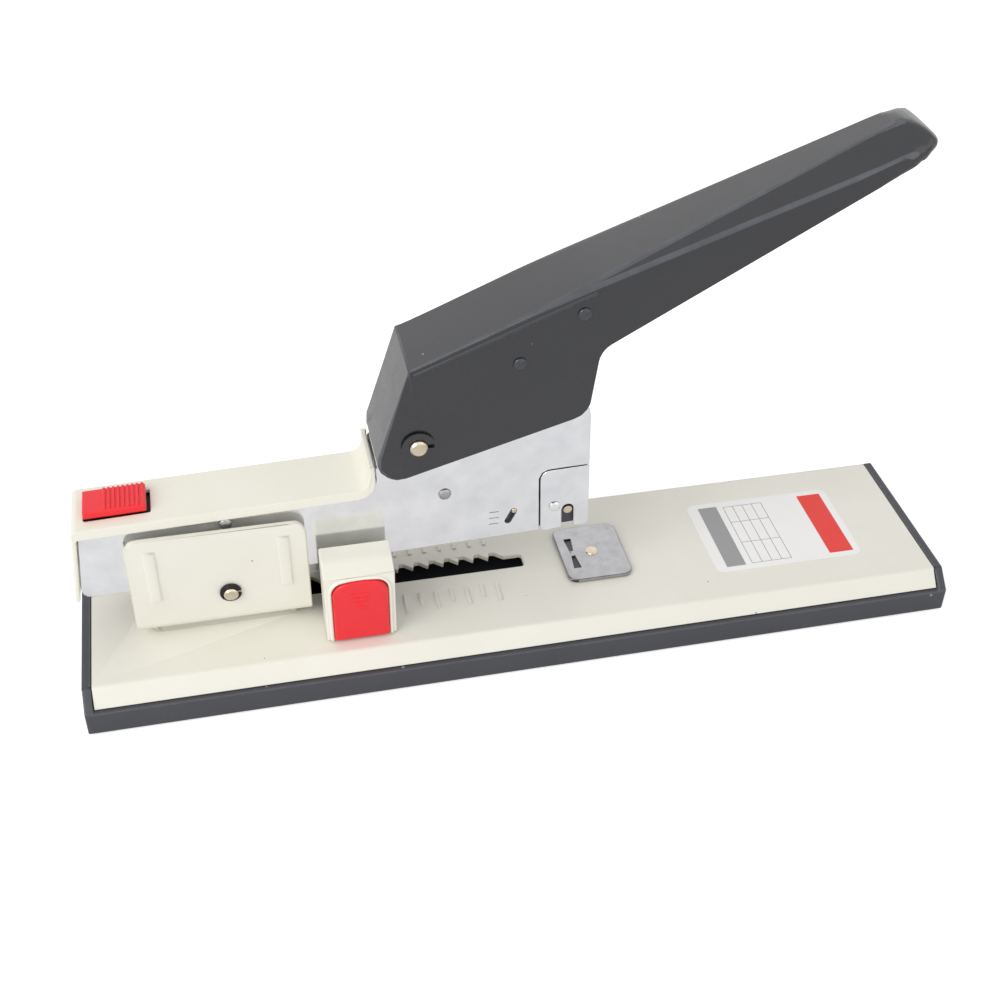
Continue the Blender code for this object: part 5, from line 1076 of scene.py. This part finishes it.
@dataclass
class Handle(SubAssembly):
    """The folded handle shell with its rivets and the drive parts inside it."""

    body: str = "handle"
    half_width: float = 12.5 * MM
    bead_radius: float = 0.7 * MM
    bead_sink: float = 0.3 * MM
    bead_drop: float = 2.4 * MM
    fold_line: Tuple[Tuple[float, float], ...] = (
        (-34.0 * MM, 102.6 * MM), (-8.0 * MM, 113.1 * MM), (18.0 * MM, 123.6 * MM))
    end_start: float = 103.0 * MM
    end_stretch: float = 0.2
    net_start: float = 98.0 * MM
    net_step: float = 1.4 * MM
    relaxing: Tuple[Tuple[float, int], ...] = (
        (98.5 * MM, 4), (100.5 * MM, 6), (103.0 * MM, 10))

    def build(self) -> None:
        """Make and dress every piece of the handle."""
        shell = self.copy_with_edge_wear_and_highlight("handle_shell", Paint.BLACK)
        # The rounded folds and edges take the lighter black edge finish: a painted highlight along
        # them.
        self.round_edges(shell, 0.9 * MM, 4, lambda edge: self.is_fold(edge)
                         and middle_of(edge).x < self.end_start, slot=1)
        self.round_edges(shell, 0.25 * MM, 2, lambda edge: is_sharp(edge, 50.0, 0.95 * MM)
                         and middle_of(edge).x < self.end_start, slot=1)
        self.dome_end(shell)
        self.stand_in(shell, "handle_shell", Paint.BLACK, 40.0)
        self.beads()
        # The rivet heads take the lighter gloss enamel: a painted highlight.
        for node in ("handle_rivet_rear", "handle_rivet_front"):
            self.refine(node, Paint.GLOSS_BLACK, 0.25 * MM, angle=50.0)
        self.dress(Paint.STEEL, "drive_yoke", "drive_pin")
        self.dress(Paint.DARK_STEEL, "drive_roller")
        self.dress(Paint.CHARCOAL, "spring_pad")

    def beads(self) -> None:
        """The rolled bead just under the fold on each side of the shell."""
        for side, name in ((-1, "near"), (1, "far")):
            y = side * (self.half_width - self.bead_sink)
            path = [(x, y, z - self.bead_drop) for x, z in self.fold_line]
            # The beads take the lighter gloss enamel: a painted highlight along the fold.
            self.keep(self.wire(path, self.bead_radius), Paint.GLOSS_BLACK,
                      f"rolled_bead_{name}")

    def dome_end(self, shell: bpy.types.Object) -> None:
        """Round the closed grip end: cut it into a fine net, draw it out a little and relax it.

        Args:
            shell: the shell's copy.
        """
        start, step = self.net_start, self.net_step
        spans = (((1, 0, 0), start, 113.0 * MM), ((0, 1, 0), -self.half_width, self.half_width),
                 ((0, 0, 1), 147.0 * MM, 161.0 * MM))
        with editing(shell):
            bpy.ops.mesh.select_all(action="SELECT")
            bpy.ops.mesh.bisect(plane_co=(start, 0, 0), plane_no=(1, 0, 0))
            for normal, low, high in spans:
                for number in range(1, int((high - low) / step) + 1):
                    pick(shell, Element.FACE, lambda p: p.x > start)
                    bpy.ops.mesh.bisect(plane_co=[(low + number * step) * n for n in normal],
                                        plane_no=normal)
            shape = bmesh.from_edit_mesh(shell.data)
            for vert in shape.verts:
                vert.co.x += self.end_stretch * max(vert.co.x - self.end_start, 0.0)
            bmesh.update_edit_mesh(shell.data)
            for place, repeat in self.relaxing:
                pick(shell, Element.VERT, lambda p: p.x > place)
                bpy.ops.mesh.vertices_smooth(factor=0.5, repeat=repeat)

    def is_fold(self, edge: bmesh.types.BMEdge) -> bool:
        """Whether an edge is an outward fold between the shell's top or front and a side."""
        if not is_sharp(edge, 18.0, 1.5 * MM) or not edge.is_convex:
            return False
        first, second = (face.normal for face in edge.link_faces)
        side = max(abs(first.y), abs(second.y))
        return side > 0.5 and (max(first.z, second.z) > 0.25 or min(first.x, second.x) < -0.5)


@dataclass
class PaperStop(SubAssembly):
    """The sliding stop with its near block, far fence and carrier."""

    body: str = "paper_stop"
    lip_radius: float = 0.6 * MM
    lip_outset: float = 0.7 * MM
    lip_corner: float = 3.6 * MM
    lip_rise: float = 1.3 * MM
    lip_sink: float = 0.5 * MM
    lip_steps: int = 6
    carrier_rear: float = -62.4 * MM

    def build(self) -> None:
        """Make and dress every piece of the stop."""
        self.refine("stop_block", Paint.IVORY, 0.45 * MM, angle=50.0, shortest=0.5 * MM)
        self.lip()
        self.refine("stop_fence", Paint.IVORY, 0.6 * MM, angle=50.0)
        self.carrier()
        self.dress(Paint.STEEL, "stop_shoe")

    def carrier(self) -> None:
        """The carrier under the arm, its rear edge kept behind the near block."""
        carrier = self.copy_with_edge_wear_and_highlight("stop_carrier", Paint.CHARCOAL)
        with editing(carrier):
            bpy.ops.mesh.select_all(action="SELECT")
            bpy.ops.mesh.bisect(plane_co=(self.carrier_rear, 0, 0), plane_no=(1, 0, 0),
                                use_fill=True, clear_inner=True)
        # The carrier's rounds take the lighter charcoal edge finish: rubbed wear and a painted
        # highlight.
        self.round_edges(carrier, 0.4 * MM, 3, lambda edge: is_sharp(edge, 32.0, 0.5 * MM),
                         slot=1, clamp=True)
        self.stand_in(carrier, "stop_carrier", Paint.CHARCOAL)

    def lip(self) -> None:
        """The raised lip round the button's bay."""
        low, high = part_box("stop_button")
        half = (high.x - low.x) / 2 + self.lip_outset
        middle, corner, rise = (low.x + high.x) / 2, self.lip_corner, self.lip_rise
        top = high.z - rise + self.lip_outset
        path = [(-half, low.z)]
        for step in range(self.lip_steps + 1):
            angle = math.pi / 2 * step / self.lip_steps
            path.append((-half + corner * (1 - math.cos(angle)),
                         top - corner * (1 - math.sin(angle))))
        path += [(share * (half - corner), top) for share in (-0.6, -0.2)]
        path += [(-x, z) for x, z in reversed(path)]
        front = low.y + self.lip_sink
        bead = self.wire([(middle + x, front, z + rise * (1 - (x / half) ** 2) * (
            z > top - corner)) for x, z in path], self.lip_radius)
        self.keep(bead, Paint.IVORY, "stop_bay_lip")


@dataclass
class SmallMovers(SubAssembly):
    """The two red buttons, the pusher and the driver, each on a body of its own."""

    cap_start: float = -37.9 * MM
    cap_end: float = -19.8 * MM
    cap_low: float = 29.2 * MM
    cap_top: float = 31.7 * MM
    cap_half: float = 5.4 * MM
    stems: Tuple[Point, ...] = ((2.4 * MM, 21.8 * MM, 29.4 * MM),
                                (1.2 * MM, 14.4 * MM, 22.0 * MM))
    ribs: int = 9
    rib_radius: float = 0.5 * MM
    rib_first: float = 0.9 * MM
    rib_pitch: float = 1.36 * MM
    face_front: float = -25.1 * MM
    face_back: float = -20.6 * MM
    face_rise: float = 1.6 * MM
    face_corner: float = 3.3 * MM
    ridges: int = 4
    ridge_radius: float = 0.3 * MM
    ridge_top: float = 33.0 * MM
    ridge_pitch: float = 1.75 * MM
    ridge_length: float = 6.2 * MM
    ridge_shrink: float = 1.1 * MM

    def build(self) -> None:
        """Make and dress the buttons, the pusher and the driver."""
        self.push_button()
        self.stop_button()
        self.body = "pusher"
        self.dress(Paint.DARK_STEEL, "pusher")
        self.body = "driver"
        self.dress(Paint.STEEL, "driver_blade")
        self.dress(Paint.DARK_STEEL, "driver_carrier")

    def push_button(self) -> None:
        """The catch button: a rounded cap with nine ribs on its front part, and its stem."""
        self.body = "push_button"
        half, end = self.cap_half, self.cap_end
        cap = self.plate((self.cap_start, -half, self.cap_low), (end, half, self.cap_top))
        self.round_edges(cap, 0.5 * MM, 4, lambda edge: is_sharp(edge, 50.0, 0.0))
        pieces = [cap]
        middle = (self.cap_start + end) / 2
        for reach, bottom, top in self.stems:
            stem = self.plate((middle - reach, -reach, bottom), (middle + reach, reach, top))
            self.round_edges(stem, 0.3 * MM, 2, lambda edge: is_sharp(edge, 50.0, 0.0))
            pieces.append(stem)
        for number in range(self.ribs):
            place = (end - self.rib_first - self.rib_pitch * number, 0.0, self.cap_top)
            pieces.append(self.bar(self.rib_radius, 2 * half - self.rib_radius, place, sides=16,
                                   bevel=0.2 * MM))
        button = self.join(pieces)
        button.matrix_world = ARM.matrix()
        self.stand_in(button, "push_button", Paint.RED, 50.0, "push_button_ribbed")

    def stop_button(self) -> None:
        """The stop's button: an arched slab with four ridges that get shorter downwards."""
        self.body = "stop_button"
        low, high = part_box("stop_button")
        slab = self.arched_slab((low.x, self.face_front, low.z),
                                (high.x, self.face_back, high.z - self.face_rise),
                                self.face_corner, self.face_rise)
        self.round_edges(slab, 0.8 * MM, 4, lambda edge: is_sharp(edge, 50.0, 0.0))
        middle = (low.x + high.x) / 2
        stem = self.plate((middle - 3.0 * MM, -21.0 * MM, 25.0 * MM),
                          (middle + 3.0 * MM, high.y, 28.8 * MM))
        self.round_edges(stem, 0.4 * MM, 2, lambda edge: is_sharp(edge, 50.0, 0.0))
        pieces = [slab, stem]
        for number in range(self.ridges):
            length = self.ridge_length - self.ridge_shrink * number
            place = (middle, self.face_front, self.ridge_top - self.ridge_pitch * number)
            pieces.append(self.bar(self.ridge_radius, length, place, axis="X", sides=12,
                                   bevel=0.15 * MM))
        button = self.join(pieces)
        self.stand_in(button, "stop_button", Paint.RED, 50.0, "stop_button_arched")


@dataclass
class Studio:
    """The floor, the soft lights and the camera at the photograph's viewing angle."""

    floor_size: float = 6.0
    lens_mm: float = 52.146
    shift_x: float = -0.0215
    shift_y: float = 0.0042
    right: Point = (0.973954, -0.225448, 0.024212)
    up: Point = (0.122864, 0.614478, 0.779309)
    back: Point = (-0.190572, -0.756036, 0.626172)
    eye: Point = (-86.158 * MM, -346.768 * MM, 326.251 * MM)

    def build(self) -> None:
        """Set the stage."""
        self.floor()
        self.world()
        self.lamp("key", (-1.05, -0.7, 0.95), 1.1, 12.5)
        self.lamp("fill", (0.8, -1.1, 0.8), 1.4, 3.0)
        self.lamp("rim", (0.3, 1.1, 1.0), 1.2, 1.0)
        self.camera()
        bpy.context.scene.view_settings.view_transform = "Standard"

    def floor(self) -> None:
        """A white floor that keeps the object's shadow."""
        deselect_all()
        bpy.ops.mesh.primitive_plane_add(size=self.floor_size)
        floor = bpy.context.object
        floor.name = "floor"
        material = bpy.data.materials.new("white_floor_card")
        material.use_nodes = True
        tree = material.node_tree
        shader = tree.nodes["Principled BSDF"]
        shader.inputs["Base Color"].default_value = linear("#F4F4F4")
        shader.inputs["Roughness"].default_value = 0.9
        shader.inputs["Specular IOR Level"].default_value = 0.0
        glow = add_node(tree, "ShaderNodeEmission", {"Color": (1, 1, 1, 1), "Strength": 0.5})
        both = add_node(tree, "ShaderNodeAddShader", {}, {0: shader.outputs[0],
                                                           1: glow.outputs[0]})
        path = add_node(tree, "ShaderNodeLightPath")
        mix = add_node(tree, "ShaderNodeMixShader", {}, {0: path.outputs["Is Camera Ray"],
                                                          1: shader.outputs[0],
                                                          2: both.outputs[0]})
        tree.links.new(mix.outputs[0], tree.nodes["Material Output"].inputs["Surface"])
        floor.data.materials.append(material)

    def seen(self, tree: bpy.types.NodeTree) -> bpy.types.NodeSocket:
        """One for rays from the camera, in gloss or through glass.

        Args:
            tree: the nodes to add to.

        Returns:
            The share output.
        """
        path = add_node(tree, "ShaderNodeLightPath")
        first = add_node(tree, "ShaderNodeMath", {"operation": "MAXIMUM"},
                         {0: path.outputs["Is Camera Ray"], 1: path.outputs["Is Glossy Ray"]})
        both = add_node(tree, "ShaderNodeMath", {"operation": "MAXIMUM"},
                        {0: first.outputs[0], 1: path.outputs["Is Transmission Ray"]})
        return both.outputs[0]

    def world(self) -> None:
        """A white surround that lights the object softly."""
        world = bpy.data.worlds.new("studio_surround")
        bpy.context.scene.world = world
        world.use_nodes = True
        tree = world.node_tree
        background = tree.nodes["Background"]
        background.inputs["Color"].default_value = (1, 1, 1, 1)
        level = add_node(tree, "ShaderNodeMapRange", {"To Min": 0.62, "To Max": 1.0},
                         {"Value": self.seen(tree)})
        tree.links.new(level.outputs["Result"], background.inputs["Strength"])

    def lamp(self, name: str, place: Point, size: float, power: float) -> None:
        """A square soft light aimed at the object.

        Args:
            name: its name.
            place: where it stands.
            size: its side.
            power: its power in watts.
        """
        data = bpy.data.lights.new(name, "AREA")
        data.size = size
        data.energy = power
        lamp = bpy.data.objects.new(name, data)
        bpy.context.scene.collection.objects.link(lamp)
        lamp.location = place
        aim = Vector((0.0, 0.0, 0.05)) - Vector(place)
        lamp.rotation_euler = aim.to_track_quat("-Z", "Y").to_euler()

    def camera(self) -> None:
        """The camera that was fitted to the photograph's straight edges."""
        data = bpy.data.cameras.new("camera")
        data.sensor_width = 36.0
        data.lens = self.lens_mm
        data.shift_x = self.shift_x
        data.shift_y = self.shift_y
        camera = bpy.data.objects.new("camera", data)
        bpy.context.scene.collection.objects.link(camera)
        axes = Matrix((self.right, self.up, self.back)).transposed().to_4x4()
        camera.matrix_world = Matrix.Translation(self.eye) @ axes
        bpy.context.scene.camera = camera


def main() -> None:
    """Build every sub-assembly and the studio."""
    logging.basicConfig(level=logging.INFO, format="%(message)s")
    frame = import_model()
    shop = PaintShop()
    for kind in (Base, Arm, Magazine, Handle, PaperStop, SmallMovers):
        kind(frame, shop).build()
    Studio().build()


if __name__ == "__main__":
    main()
